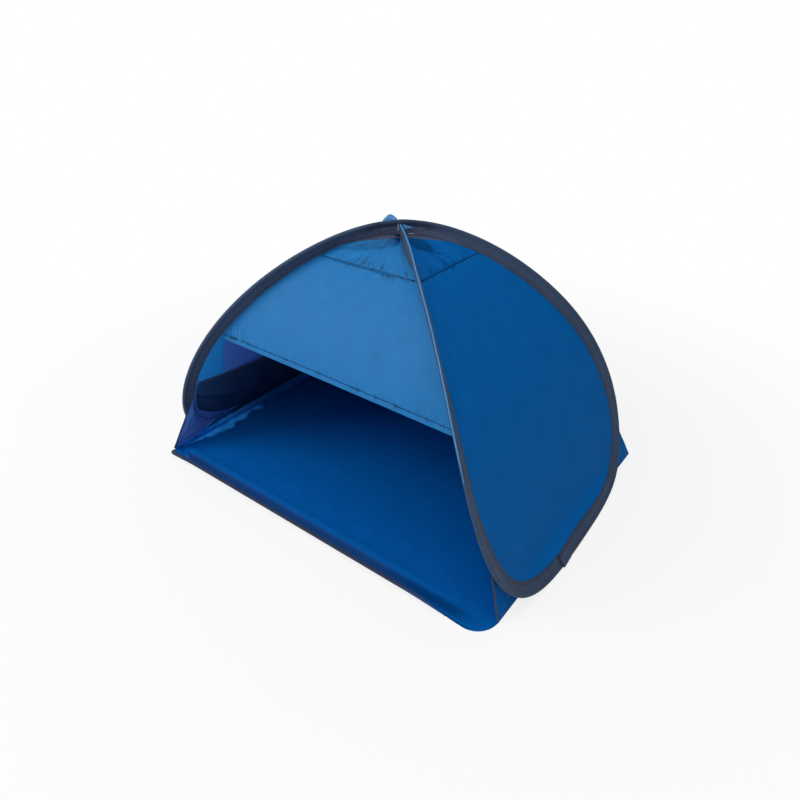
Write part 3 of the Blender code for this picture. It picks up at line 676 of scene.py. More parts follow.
def tinted_colour(n, shown):
    # the tint attribute, as painted light and shade: how much of the purple cast (painted shade)
    # and of the visor's paler blue (painted light) shows, and how light or dark it is painted
    points = n.add("ShaderNodeAttribute", attribute_name="tint")
    parts = n.add("ShaderNodeSeparateColor")
    n.join(points.outputs["Color"], parts.inputs["Color"])
    colours = bpy.context.scene.tent_colours
    for share, other in (("Red", colours.coating_and_shade), ("Blue", colours.visor)):
        mix = n.add("ShaderNodeMix", data_type="RGBA")
        n.join(parts.outputs[share], mix.inputs["Factor"])
        n.join(shown, mix.inputs["A"])
        mix.inputs["B"].default_value = (*other, 1.0)
        shown = mix.outputs["Result"]
    light = n.add("ShaderNodeVectorMath", operation="SCALE")
    n.join(shown, light.inputs[0])
    n.join(parts.outputs["Green"], light.inputs["Scale"])
    return light.outputs["Vector"]


def cloth_material(name, colour, thread=0.0005, rough=0.55, crinkle=0.35, sheen=0.0, gloss=0.02,
                   weave=0.25, tinted=False):
    # coated woven cloth: weave, soft crinkles and slightly uneven colour
    n = Nodes(name)
    uv = n.add("ShaderNodeUVMap", uv_map="UVMap").outputs["UV"]
    height = weave_height(n, uv, thread)
    # patches about 4 cm and specks about 2 mm across, in the cloth's own metres
    mottle = n.speckle(uv, 26.0, 3.0, 0.55)
    fine = n.speckle(uv, 420.0, 2.0, 0.6)

    dark = [c * (1.0 - UNEVEN_COLOUR) for c in colour]
    light = [min(c * (1.0 + UNEVEN_COLOUR), 1.0) for c in colour]
    threads = n.add("ShaderNodeMix", data_type="RGBA", blend_type="MULTIPLY")
    threads.inputs["Factor"].default_value = 0.16
    n.join(n.ramp(mottle, dark, light, (0.30, 0.70)), threads.inputs["A"])
    n.join(height, threads.inputs["B"])
    shown = threads.outputs["Result"]
    if tinted:
        shown = tinted_colour(n, shown)

    soft = n.bump(mottle, crinkle, 0.0012)
    n.varied({"Base Color": shown, "Roughness": n.maths("MULTIPLY_ADD", fine, 0.16, rough - 0.08),
              "Normal": n.bump(height, weave, 0.00006, soft)})
    n.plain({"Specular IOR Level": gloss, "Sheen Weight": sheen, "Sheen Roughness": 0.45,
             "Sheen Tint": (0.55, 0.75, 1.0, 1.0)})
    return n.material


def thread_material(name, colour):
    # twisted sewing thread: fine slanting bands on the object's own coordinates
    n = Nodes(name)
    place = n.add("ShaderNodeTexCoord").outputs["Object"]
    twist = n.bands(place, "DIAGONAL", {"Scale": 900.0, "Distortion": 1.0})
    dark = [c * 0.7 for c in colour]
    light = [min(c * 1.3, 1.0) for c in colour]
    n.varied({"Base Color": n.ramp(twist, dark, light), "Normal": n.bump(twist, 0.4, 0.00005)})
    n.plain({"Roughness": 0.7, "Specular IOR Level": 0.05})
    return n.material


def steel_material(name):
    # drawn spring wire: faint lengthwise streaks and a little dulling
    n = Nodes(name)
    place = n.add("ShaderNodeTexCoord").outputs["Object"]
    streaks = n.speckle(place, 380.0, 4.0, 0.7)
    n.varied({"Base Color": n.ramp(streaks, STEEL_DARK, STEEL_LIGHT),
              "Roughness": n.maths("MULTIPLY_ADD", streaks, 0.2, 0.24)})
    n.plain({"Metallic": 1.0})
    return n.material


# Each cloth's colour, and where it differs from the plain cloth of the panels.
CLOTHS = {
    "panel_cloth": ("panel", {}),
    "visor_cloth": ("visor", {"gloss": 0.15, "tinted": True}),
    "floor_cloth": ("floor", {"rough": 0.50, "crinkle": 0.25, "tinted": True}),
    # the panels' cloth with painted light and shade from the tint attribute
    "inside_cloth": ("panel", {"tinted": True}),
    "sleeve_cloth": ("sleeve", {"thread": 0.0006, "rough": 0.70, "crinkle": 0.3, "sheen": 0.10,
                                "gloss": 0.2, "weave": 0.4, "tinted": True}),
    "edging_tape": ("edging", {"thread": 0.0007, "rough": 0.75, "crinkle": 0.3, "sheen": 0.10,
                               "gloss": 0.2, "weave": 0.6, "tinted": True}),
    "web_cloth": ("web", {"thread": 0.0009, "rough": 0.75, "crinkle": 0.6, "gloss": 0.1, "weave": 0.8}),
    "pocket_cloth": ("pocket", {"thread": 0.0008, "rough": 0.80, "crinkle": 0.3, "weave": 0.6,
                                "tinted": True}),
    "piping_cloth": ("piping", {"rough": 0.50, "crinkle": 0.4}),
}
PALE_THREAD = (0.42, 0.47, 0.55)
STEEL_DARK = (0.34, 0.35, 0.37)
STEEL_LIGHT = (0.62, 0.63, 0.65)
# how much a cloth's colour varies from place to place
UNEVEN_COLOUR = 0.06
# the length of one band of a wave texture at a scale of 1
WAVE_LENGTH = 0.314


def material(name):
    # each finish is made once, under a name that keeps it apart from the frame's own plain finishes
    label = "tent_" + name
    done = bpy.data.materials.get(label)
    if done:
        return done
    colours = bpy.context.scene.tent_colours
    if name in CLOTHS:
        colour, values = CLOTHS[name]
        return cloth_material(label, getattr(colours, colour), **values)
    if name == "spring_steel":
        return steel_material(label)
    return thread_material(label, colours.thread if name == "sewing_thread" else PALE_THREAD)


def lobe_run(t_first, t_second, sx, sy_first, count):
    # one side's loop as evenly spaced places: down one leg, along the ground and up the other
    steps = 600
    fine = [(t_first + (1.0 - t_first) * k / steps, sy_first) for k in range(steps + 1)]
    fine += [(1.0 - (1.0 - t_second) * k / steps, -sy_first) for k in range(1, steps + 1)]
    points = [wire_at(t, sx, sy) for t, sy in fine]
    lengths = [0.0]
    for a, b in zip(points, points[1:]):
        lengths.append(lengths[-1] + (b - a).length)
    out, j = [], 0
    for k in range(count + 1):
        want = lengths[-1] * k / count
        while j < len(lengths) - 2 and lengths[j + 1] < want:
            j += 1
        share = (want - lengths[j]) / (lengths[j + 1] - lengths[j])
        a, b = fine[j], fine[j + 1]
        if a[1] != b[1]:
            out.append(a if share < 0.5 else b)
        else:
            out.append((a[0] + (b[0] - a[0]) * share, a[1]))
    return out


def sleeve_half():
    # half of the sleeve's section, x towards the seam and y sideways from the wire
    r = SLEEVE_TUBE_R + 0.0001
    flat = 0.00065
    return [(-r, 0.0), (-0.87 * r, 0.5 * r), (-0.5 * r, 0.87 * r), (0.0, r), (0.5 * r, 0.87 * r),
            (0.95 * r, 0.64 * r), (1.45 * r, 0.38 * r), (2.1 * r, flat + 0.0001), (0.0095, flat),
            (0.0125, flat), (0.0145, flat * 0.9), (0.0150, 0.0)]


def edging_half():
    # half of the narrow tape's section over the sleeve's inner edge
    thick = 0.00115
    return [(0.0140, 0.0), (0.0141, 0.8 * thick), (0.0146, thick), (0.0158, thick), (0.0164, 0.72 * thick),
            (0.0170, thick), (0.0182, thick), (0.0189, 0.7 * thick), (0.0191, 0.0)]


def mirrored(half):
    return half + [(x, -y) for x, y in reversed(half[1:-1])]


def sleeve_rings(run, sx, section, seed, grow=None):
    # the sleeve's section along a run; sx is 0 over the crossing, where the run changes sides
    points = [wire_at(t, sx if sx else sy, sy) for t, sy in run]
    seams = [seam_at(t, sx if sx else sy, sy) for t, sy in run]
    places = directions(points, seams)
    gone = [0.0]
    for a, b in zip(points, points[1:]):
        gone.append(gone[-1] + (b - a).length)

    def ring(k):
        p, q = points[k], seams[k]
        along, inward, side = places[k]
        reach = (q - p).length / SLEEVE_WIDTH
        fat = grow(k) if grow else 0.0
        sway = 0.0007 * ripple(gone[k], 0.0, 0.050, seed) + 0.0003 * ripple(gone[k], 0.0, 0.014, seed + 2.0)
        out = []
        for x, y in section:
            share = min(max(x / SLEEVE_WIDTH, 0.0), 1.0)
            wrinkle = 0.00022 * ripple(gone[k], x * 3.0, 0.007, seed + 5.0 + (1.0 if y > 0 else 0.0))
            bulge = (y + math.copysign(fat, y) + (wrinkle if y else 0.0)) if y else 0.0
            shift = -fat if x < 0.0 else 0.0
            out.append(p + inward * (x * (reach if x > 0.008 else 1.0) + shift)
                       + side * (bulge + sway * share ** 1.5))
        return out

    return ring


def refinish(obj, points, finish, wanted):
    # a second finish on the faces that wanted(station, distance from the wire) picks
    obj.data.materials.append(material(finish))
    uvs = obj.data.uv_layers["UVMap"].data
    longest = max(item.uv.y for item in uvs)
    for face in obj.data.polygons:
        v = sum(uvs[i].uv.y for i in face.loop_indices) / len(face.loop_indices)
        k = min(round(v / longest * (len(points) - 1)), len(points) - 1)
        if wanted(k, (face.center - points[k]).length):
            face.material_index = len(obj.data.materials) - 1


def webbed(away):
    # how far from the wire the sleeve turns into webbing, at a distance from the crossing
    return 0.0058 + 0.0100 * (away / 0.10) ** 1.6


def sleeve_tint(away, seed):
    # painted shade: the sleeve is darker where it turns over at the crossing; it is also a little uneven
    # along its run
    shade = 0.36 * (1.0 - smooth((away - 0.035) / 0.035))
    return 0.0, 1.0 - shade + 0.09 * ripple(away, 0.0, 0.045, seed + 0.5), 0.0


class TENT_OT_sleeves(bpy.types.Operator):
    """Sleeves around the wire of both loops, with the tape along their seams"""
    bl_idname = "tent.sleeves"
    bl_label = "Sleeves"

    def execute(self, context):
        count = 430
        for side, sx in SIDES.items():
            seed = SLEEVE_SEEDS[side]
            run = lobe_run(TOP_T, UNDER_T, sx, sx, count)
            body = side + "_side"
            points = [wire_at(t, sx, sy) for t, sy in run]
            length = sum((a - b).length for a, b in zip(points, points[1:]))
            step = length / count
            first = UPPER_SLEEVE_START
            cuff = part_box("sleeve_cuff")[0].y

            def tint(k):
                away = min(first + k * step, length - k * step + LOWER_SLEEVE_START)
                coating_shade, light, pale = sleeve_tint(away, seed)
                # a painted shadow line where the overlapping end of the sleeve begins
                if sx > 0 and points[k].z < 0.1 and cuff - 0.0045 < points[k].y < cuff + 0.001:
                    light *= 0.40
                # and darker low down, in its lowest 5 cm near the ground
                return coating_shade, light * (1.0 - 0.14 * smooth((0.05 - points[k].z) / 0.03)), pale

            ring = sleeve_rings(run, sx, mirrored(sleeve_half()), seed)
            sleeve = band_piece("sleeve_" + side + "_cloth", count, ring, material("sleeve_cloth"), tint)
            refinish(sleeve, points, "web_cloth", lambda k, depth: depth > webbed(first + k * step))
            if side == "left":
                # behind the crossing the sleeve's end is faced with the light blue cloth
                refinish(sleeve, points, "piping_cloth", lambda k, depth: k * step > length - FACING_LENGTH)
            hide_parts("sleeve_" + side)
            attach(sleeve, body)
            ring = sleeve_rings(run, sx, mirrored(edging_half()), seed)
            edging = band_piece("sleeve_" + side + "_edging", count, ring, material("edging_tape"), tint)
            refinish(edging, points, "web_cloth", lambda k, depth: depth > webbed(first + k * step))
            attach(edging, body)
        return {"FINISHED"}


class TENT_OT_crossing(bpy.types.Operator):
    """The stretch of sleeve over the crossing, with the overlapped end of the right sleeve"""
    bl_idname = "tent.crossing"
    bl_label = "Crossing"

    def execute(self, context):
        count = 64
        first, seed = UPPER_SLEEVE_START, SLEEVE_SEEDS["left"]
        run = []
        for k in range(count + 1):
            s = -1.0 + 2.0 * k / count
            run.append((abs(s) * TOP_T, -1 if s < 0 else 1))

        def grow(k):
            share = k / count
            return 0.0005 * smooth((share - 0.49) / 0.015) * (1.0 - smooth((share - 0.6) / 0.4))

        for name, half, finish in (("crossing_sleeve", sleeve_half(), "sleeve_cloth"),
                                   ("crossing_edging", edging_half(), "edging_tape")):
            ring = sleeve_rings(run, 0, mirrored(half), seed, grow)
            piece = band_piece(name, count, ring, material(finish),
                               lambda k: sleeve_tint(first * abs(2.0 * k / count - 1.0), seed))
            points = [wire_at(t, sy, sy) for t, sy in run]
            refinish(piece, points, "web_cloth",
                     lambda k, depth: depth > webbed(first * abs(2.0 * k / count - 1.0)))
            if finish == "sleeve_cloth":
                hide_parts("crossing_wrap")
            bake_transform(piece)
        return {"FINISHED"}


class TENT_OT_cuff(bpy.types.Operator):
    """The overlapping end of the sleeve low on the right side"""
    bl_idname = "tent.cuff"
    bl_label = "Sleeve cuff"

    def execute(self, context):
        low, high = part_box("sleeve_cuff")
        count = 26
        ts = [t_at_y(WY, low.y + (high.y - low.y) * k / count) for k in range(count + 1)]
        run = [(t, -1) for t in ts]
        half = [(x, y) for x, y in sleeve_half() if x < 0.0135] + [(0.0136, 0.00065)]
        section = mirrored(half + [(0.0137, 0.0)])

        def grow(k):
            return 0.0015 - 0.0010 * smooth(k / count)

        ring = sleeve_rings(run, 1, section, SLEEVE_SEEDS["right"], grow)
        cuff = band_piece("sleeve_cuff_cloth", count, ring, material("sleeve_cloth"))
        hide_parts("sleeve_cuff")
        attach(cuff, "right_side")
        return {"FINISHED"}


class TENT_OT_piping(bpy.types.Operator):
    """Light blue piping along the outer edge of the lower run"""
    bl_idname = "tent.piping"
    bl_label = "Piping"

    def execute(self, context):
        radius = context.scene.tent_sizes.piping_radius
        count = 150
        start, end = UNDER_T + PIPING_START_T, HEM_T + PIPING_PAST_HEM_T
        ts = [start + (end - start) * k / count for k in range(count + 1)]
        for side, sx in SIDES.items():
            points = [wire_at(t, sx, -sx) for t in ts]
            seams = [seam_at(t, sx, -sx) for t in ts]
            places = directions(points, seams)

            def ring(k):
                along, inward, across = places[k]
                wobble = 0.0002 * ripple(k * 0.0025, 0.0, 0.02, 9.0 + sx)
                thin = 1.0 - 0.45 * smooth((ts[k] - end + 0.05) / 0.05)
                if sx < 0:
                    thin *= 0.45 + 0.55 * smooth((ts[k] - 0.03) / 0.05)
                centre = points[k] - inward * (SLEEVE_TUBE_R + 0.0008) + across * wobble
                return round_ring(centre, inward, across, radius * thin, 10)

            piece = band_piece("piping_" + side + "_cloth", count, ring, material("piping_cloth"))
            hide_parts("piping_" + side)
            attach(piece, side + "_side")
        return {"FINISHED"}


def side_place(sx, seed):
    # the place of a point on a side panel, from the crown seam to the seam at its bottom
    bottom_half = abs(QY(BOTTOM_T)) - 0.0020
    rows = {}

    def folds(u, f, t):
        width = abs(QY(t))
        down = f * SIDE_LENGTH
        # the whole side hangs in a little
        out = -SIDE_HOLLOW * (1 - u * u) * math.sin(math.pi * min(f, 1.0)) ** 0.8
        edge = 1.0 - abs(u) ** 10
        # puckers below the crown's seam, then long and short waves of the whole cloth
        out += 0.0020 * gathers(u * width, seed) * math.exp(-down / 0.009) * edge
        out += 0.0009 * ripple(u * width, down, 0.11, seed + 3.0) * edge
        out += 0.0003 * ripple(u * width, down, 0.035, seed + 5.0) * edge
        # puckers along the sleeves
        near = (1.0 - abs(u)) * width
        out += 0.0007 * gathers(down, seed + 9.0 + u) * math.exp(-near / 0.010) * smooth(near / 0.002)
        return out

    def place(u, f):
        share = min(f / SIDE_STRAIGHT, 1.0)
        t = SEAM_T + (PANEL_END_T - SEAM_T) * share
        p = side_point(t, u, sx, inset=-0.0006, lift=folds(u, f, t))
        if f > SIDE_STRAIGHT:
            if u not in rows:
                low = t_at_y(QY, abs(u) * bottom_half)
                rows[u] = Vector((sx * QX(low), u * bottom_half, QZ(low) - 0.0004))
            p = p.lerp(rows[u], (f - SIDE_STRAIGHT) / 0.07)
        return p

    return place


def inside_tint(u, f):
    # painted light and shade: by the doorway leg the inside is painted lighter and paler, as if lit through
    # the cloth; deeper inside it is painted in shade with the purple cast, darker still low down
    edge = -0.88 + 1.05 * (f - 0.39) + 0.01 * ripple(u, f, 0.05, 4.0)
    low = smooth((f - 0.55) / 0.03)
    inner = max(smooth((u - edge + 0.02) / 0.04), low)
    return 0.90 * inner, 1.75 - (0.20 + 0.55 * low) * inner, 1.0 - inner


def coated_and_shaded_inside(obj, finish, sx):
    # the layer that faces the tent's middle gets the second finish
    faces = obj.data.polygons
    middle = faces[len(faces) // 2]
    outer = middle.normal.x * sx > 0
    obj.data.materials.append(material(finish))
    mod = obj.modifiers["cloth thickness"]
    if outer:
        mod.material_offset = 1
    else:
        for face in faces:
            face.material_index = 1
        mod.material_offset = -1


class TENT_OT_side_panels(bpy.types.Operator):
    """The cloth that fills the two loops"""
    bl_idname = "tent.side_panels"
    bl_label = "Side panels"

    def execute(self, context):
        for side, sx in SIDES.items():
            place = side_place(sx, SIDE_SEEDS[side])
            panel = cloth_piece("panel_" + side + "_cloth", 210, 150, place, 0.425, 0.435,
                                material("panel_cloth"),
                                tint=inside_tint)
            coated_and_shaded_inside(panel, "inside_cloth", sx)
            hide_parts("side_panel_" + side)
            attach(panel, side + "_side")
        return {"FINISHED"}


def crown_place(side):
    # a gore of the crown: gathered along its seam, with creases that fan out from the crossing
    seed = CROWN_SEEDS[side]
    sign = -1 if side in ("left", "front") else 1
    lies = side_point if side in ("left", "right") else across_point

    def place(u, f):
        top = crown_top(u, sign)
        t = top + (SEAM_T - top) * f
        width = abs(QY(t)) if side in ("left", "right") else QX(t)
        edge = 1.0 - abs(u) ** 8
        to_seam = (1.0 - f) * CROWN_LENGTH
        depth = bpy.context.scene.tent_sizes.pucker_depth
        reach = 0.012 + 0.008 * ripple(u * width, 0.0, 0.020, seed + 11.0)
        lift = 1.2 * depth * gathers(u * width, seed) * math.exp(-to_seam / reach) * edge
        lift *= smooth((to_seam - 0.0010) / 0.0045)
        # the edge rolls a little above the stitches, which sink into the cloth
        lift += 0.0008 * bell(to_seam - 0.0042, 0.0022) * edge
        lift -= 0.0014 * tucks(u * width, seed) * bell(to_seam, 0.012) * edge
        lift -= 0.0009 * bell(to_seam - 0.0012, 0.0012) * edge
        # creases that fan out from the crossing, and the right and front gore's own folds
        fan = ripple(u * 1.6, 0.15, 0.34, seed + 1.0) + 0.4 * ripple(u * 1.6, 0.08, 0.16, seed + 2.0)
        lift += 0.0018 * fan * math.sin(math.pi * min(f * 0.9 + 0.08, 1.0)) * edge
        if side == "right":
            lift += crease(u, f, (-0.95, 0.05), (0.30, 0.50), 0.13, -0.0075) * edge
            lift += crease(u, f, (-0.85, 0.0), (-0.45, 0.85), 0.08, 0.0020) * edge
            lift += crease(u, f, (-0.60, 0.25), (0.05, 0.95), 0.07, 0.0018) * edge
        if side == "front":
            lift += crease(u, f, (0.95, 0.0), (-0.75, 0.35), 0.16, -0.0065) * edge
        return lies(t, u, sign, inset=-0.0006, lift=lift)

    return place


def crown_tint(side):
    # painted shade: in the groove of the seam, between its puckers, in the hollow below the webbing on the
    # front gore and in a triangle near the top of the right gore
    seed = CROWN_SEEDS[side]

    def tint(u, f):
        to_seam = (1.0 - f) * CROWN_LENGTH
        width = abs(QY(SEAM_T)) if side in ("left", "right") else QX(SEAM_T)
        dark = 0.38 * bell(to_seam - 0.0013, 0.0009)
        long = 0.009 + 0.008 * ripple(u * width, 0.004, 0.011, seed + 6.5)
        below = bell(to_seam, long) * smooth((to_seam - 0.002) / 0.002)
        dark += 0.95 * tucks(u * width, seed) * below
        if side == "right":
            left_line = 0.08 + 1.46 * (u + 0.35) - f
            right_line = 0.44 - 0.45 * (f - 0.2) - u
            dark = max(dark, 0.42 * smooth(left_line / 0.12) * smooth(right_line / 0.10))
        if side == "front":
            line = 0.12 + 0.52 * smooth((1.0 - u) / 1.3)
            dark = max(dark, 0.26 * smooth((line - f) / 0.22) * smooth((u + 0.9) / 0.5))
        return 0.0, max(1.0 - dark, 0.3), 0.0

    return tint


class TENT_OT_crown(bpy.types.Operator):
    """The four gores above the cross seams"""
    bl_idname = "tent.crown"
    bl_label = "Crown"

    def execute(self, context):
        for side in CROWN_SEEDS:
            finish = "visor_cloth" if side == "front" else "inside_cloth"
            gore = cloth_piece("crown_" + side + "_cloth", 240, 70, crown_place(side), 0.180, 0.046,
                               material(finish), tint=crown_tint(side))
            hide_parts("crown_" + side)
            if side in ("left", "right"):
                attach(gore, side + "_side")
            else:
                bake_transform(gore)
        return {"FINISHED"}


class TENT_OT_webbing(bpy.types.Operator):
    """Grey webbing between the crown and the crossing"""
    bl_idname = "tent.webbing"
    bl_label = "Webbing"

    def execute(self, context):
        for side, seed in WEB_SEEDS.items():
            sign = -1 if side in ("left", "front") else 1
            lies = side_point if side in ("left", "right") else across_point

            def place(u, f):
                t = WEB_TIP_T + (WEB_NEAR_T - WEB_TIP_T) * f
                v = 0.5 + 0.5 * u
                lift = 0.0005 * ripple(u * 0.02, f * 0.03, 0.008, seed) - 0.0005
                return lies(t, sign + (web_end(t, sign) - sign) * v * 1.02, sign, inset=-0.0004, lift=lift)

            web = cloth_piece("web_" + side + "_cloth", 40, 24, place, 0.080, 0.026,
                              material("web_cloth"))
            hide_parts("web_" + side)
            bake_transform(web)
        return {"FINISHED"}


def visor_place():
    sizes = bpy.context.scene.tent_sizes
    seed = VISOR_SEED

    def place(u, f):
        end = HEM_T + 0.007 * (0.5 + 0.5 * u)
        t = SEAM_T + (end - SEAM_T) * f
        width = QX(t)
        down = f * VISOR_LENGTH
        to_hem = (1.0 - f) * VISOR_LENGTH
        edge = 1.0 - abs(u) ** 10
        lift = -VISOR_HOLLOW * (1 - u * u) * math.sin(math.pi * (0.12 + 0.73 * f))
        # puckers below the crown's seam and on both sides of the hem's stitching
        puckers = gathers(u * width, seed) * math.exp(-down / 0.009) * smooth((down - 0.0005) / 0.0035)
        lift += 0.8 * sizes.pucker_depth * puckers * edge
        off_hem = abs(to_hem - sizes.hem_width)
        fade = 0.009 if to_hem > sizes.hem_width else 0.006
        puckers = gathers(1.5 * u * width, seed + 4.0) * math.exp(-off_hem / fade) * smooth(off_hem / 0.002)
        lift += 0.60 * sizes.pucker_depth * puckers * edge
        # long and short waves of the whole cloth
        lift += 0.0008 * ripple(u * width, down, 0.10, seed + 6.0) * edge
        lift += 0.0003 * ripple(u * width, down, 0.030, seed + 8.0) * edge
        # the hem is two layers thick, and the stitching sinks into it
        lift += 0.0004 * smooth((sizes.hem_width - to_hem) / 0.0012)
        lift -= 0.0008 * bell(off_hem, 0.0014)
        # small slanting creases at the hem's left corner
        lift += crease(u, to_hem / VISOR_LENGTH, (-0.98, 0.16), (-0.84, 0.02), 0.020, 0.0016) * edge
        lift -= crease(u, to_hem / VISOR_LENGTH, (-0.90, 0.15), (-0.74, 0.02), 0.022, 0.0013) * edge
        return across_point(t, u, -1, inset=-0.0006, lift=lift)

    return place


class TENT_OT_visor(bpy.types.Operator):
    """The visor over the doorway, with its folded hem"""
    bl_idname = "tent.visor"
    bl_label = "Visor"

    def execute(self, context):
        hem = context.scene.tent_sizes.hem_width

        def tint(u, f):
            # painted shade along the stitching, between the hem's puckers and between the puckers below the
            # crown's seam, with painted shade and light on the corner's creases
            off_hem = abs((1.0 - f) * VISOR_LENGTH - hem)
            width = QX(HEM_T)
            dark = 0.25 * bell(off_hem, 0.0008)
            reach = 0.0035 + 0.003 * ripple(u * width, 0.004, 0.009, VISOR_SEED + 7.5)
            dark += 0.60 * tucks(1.1 * u * width, VISOR_SEED + 4.0) * bell(off_hem, reach)
            dark += 0.45 * tucks(QX(SEAM_T) * u, VISOR_SEED) * bell(f * VISOR_LENGTH, 0.007)
            for start in (-0.985, -0.955, -0.925):
                dark += crease(u, 1.0 - f, (start, 0.17), (start + 0.10, 0.03), 0.008, 0.20)
                dark -= crease(u, 1.0 - f, (start + 0.014, 0.17), (start + 0.114, 0.03), 0.008, 0.14)
            return 0.0, 1.0 - dark, 0.0

        def spread(x, y):
            # finer by the crown's seam and by the hem
            return x, y + 0.19 * math.sin(math.pi * y)

        visor = cloth_piece("visor_cloth_sheet", 290, 150, visor_place(), 0.475, 0.206,
                            material("visor_cloth"), spread, tint)
        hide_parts("visor")
        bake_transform(visor)
        return {"FINISHED"}


def back_place():
    seed = BACK_SEED

    def place(u, f):
        share = min(f / BACK_STRAIGHT, 1.0)
        t = SEAM_T + (GUSSET_T - SEAM_T) * share
        width = QX(t)
        down = f * BACK_LENGTH
        edge = 1.0 - abs(u) ** 10
        lift = -BACK_HOLLOW * (1 - u * u) * math.sin(math.pi * share * 0.8)
        # puckers below the crown's seam, then long and short waves of the whole cloth
        lift += 0.0020 * gathers(u * width, seed) * math.exp(-down / 0.009) * edge
        lift += 0.0012 * ripple(u * width, down, 0.10, seed + 3.0) * edge
        lift += 0.0004 * ripple(u * width, down, 0.030, seed + 5.0) * edge
        p = across_point(t, u, 1, inset=-0.0004, lift=lift)
        if f > BACK_STRAIGHT:
            # from the legs it runs on down to the floor's back edge
            g = (f - BACK_STRAIGHT) / 0.24
            end = Vector((u * (FLOOR_HALF_WIDTH - 0.0010) + FLOOR_SKEW, FLOOR_BACK_Y + 0.0006, 0.0010))
            p = p.lerp(end, g)
            p.y += 0.0035 * math.sin(math.pi * g) * math.cos(9.0 * u)
            p.y += 0.0010 * gathers(u * 0.33, seed + 8.0) * g * (1.0 - g) * 4.0
        return p

    return place


class TENT_OT_back_panel(bpy.types.Operator):
    """The back, from the crown seam down to the floor"""
    bl_idname = "tent.back_panel"
    bl_label = "Back panel"

    def execute(self, context):
        back = cloth_piece("back_cloth", 250, 150, back_place(), 0.640, 0.470,
                           material("panel_cloth"))
        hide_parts("back_panel")
        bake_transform(back)
        return {"FINISHED"}


def floor_spread(x, y):
    # finer towards the left side and the doorway edge, where the cloth is crinkled
    return 2.0 * (0.5 + 0.5 * x) ** 1.5 - 1.0, 2.0 * (0.5 + 0.5 * y) ** 1.35 - 1.0


def floor_crinkle(x, y):
    # long folds that run slanting along the left side
    return (1.0 - abs(ripple(x + 0.25 * y, 0.22 * y, 0.0085, FLOOR_SEED + 0.3)) * 2.2
            + 0.5 * ripple(x, 0.5 * y, 0.010, FLOOR_SEED + 2.6)
            + 0.15 * ripple(x, y, 0.004, FLOOR_SEED + 3.4))


# How far the raised crinkled strip along the floor's left side reaches in, with its ragged points:
# Y and reach.
LEFT_STRIP = [
    (-0.235, 0.0), (-0.207, 0.006), (-0.188, 0.011), (-0.178, 0.020), (-0.160, 0.019), (-0.135, 0.027),
    (-0.116, 0.016), (-0.098, 0.021), (-0.082, 0.014), (-0.064, 0.008), (-0.050, 0.021), (-0.020, 0.0),
]


def left_strip(x, y):
    # 1 on the raised strip, 0 off it
    left = x - floor_side(y, -1)
    at = y - 0.35 * left + 0.006 + 0.003 * ripple(x, y, 0.006, FLOOR_SEED + 12.0)
    reach = 0.0
    for (y0, reach0), (y1, reach1) in zip(LEFT_STRIP, LEFT_STRIP[1:]):
        if y0 <= at < y1:
            reach = reach0 + (reach1 - reach0) * (at - y0) / (y1 - y0)
    return (1.0 - smooth((left - reach + 0.0015) / 0.004)) * smooth(reach / 0.004)


def floor_point(u, f):
    y = FLOOR_FRONT_Y + (FLOOR_BACK_Y - 0.0006 - FLOOR_FRONT_Y) * f
    return floor_x(u, y), y


def floor_place():
    seed = FLOOR_SEED

    def place(u, f):
        x, y = floor_point(u, f)
        z = 0.0004 + lip_height(x, y)
        left = x - floor_side(y, -1)
        right = floor_side(y, 1) - x
        front = y - FLOOR_FRONT_Y
        crinkle = floor_crinkle(x, y)
        # crinkled strips by the left seam and behind the left end of the doorway edge
        z += (0.0024 * crinkle + 0.0030) * left_strip(x, y) * smooth((left - 0.001) / 0.008)
        z += 0.0008 * crinkle * bell(left, 0.018) * smooth(left / 0.004)
        long = abs(ripple(0.3 * x, y + 0.08 * x, 0.008, seed + 7.3))
        long += 0.4 * abs(ripple(x, y, 0.006, seed + 8.1))
        z += 0.0024 * long * bell(front - 0.012, 0.010) * smooth((-x - 0.20) / 0.10)
        # fainter ones by the right seam
        z += 0.0010 * crinkle * bell(right, 0.014) * smooth(right / 0.004)
        # a soft ridge behind the valley of the doorway edge
        z += 0.0016 * bell(front - 0.033, 0.007) * (1.0 - smooth((x - 0.18) / 0.10))
        # long waves of the whole floor
        z += 0.0010 * (0.5 + ripple(x, y, 0.12, seed + 5.0)) * smooth(front / 0.05)
        return Vector((x, y, max(z, 0.0003)))

    return place


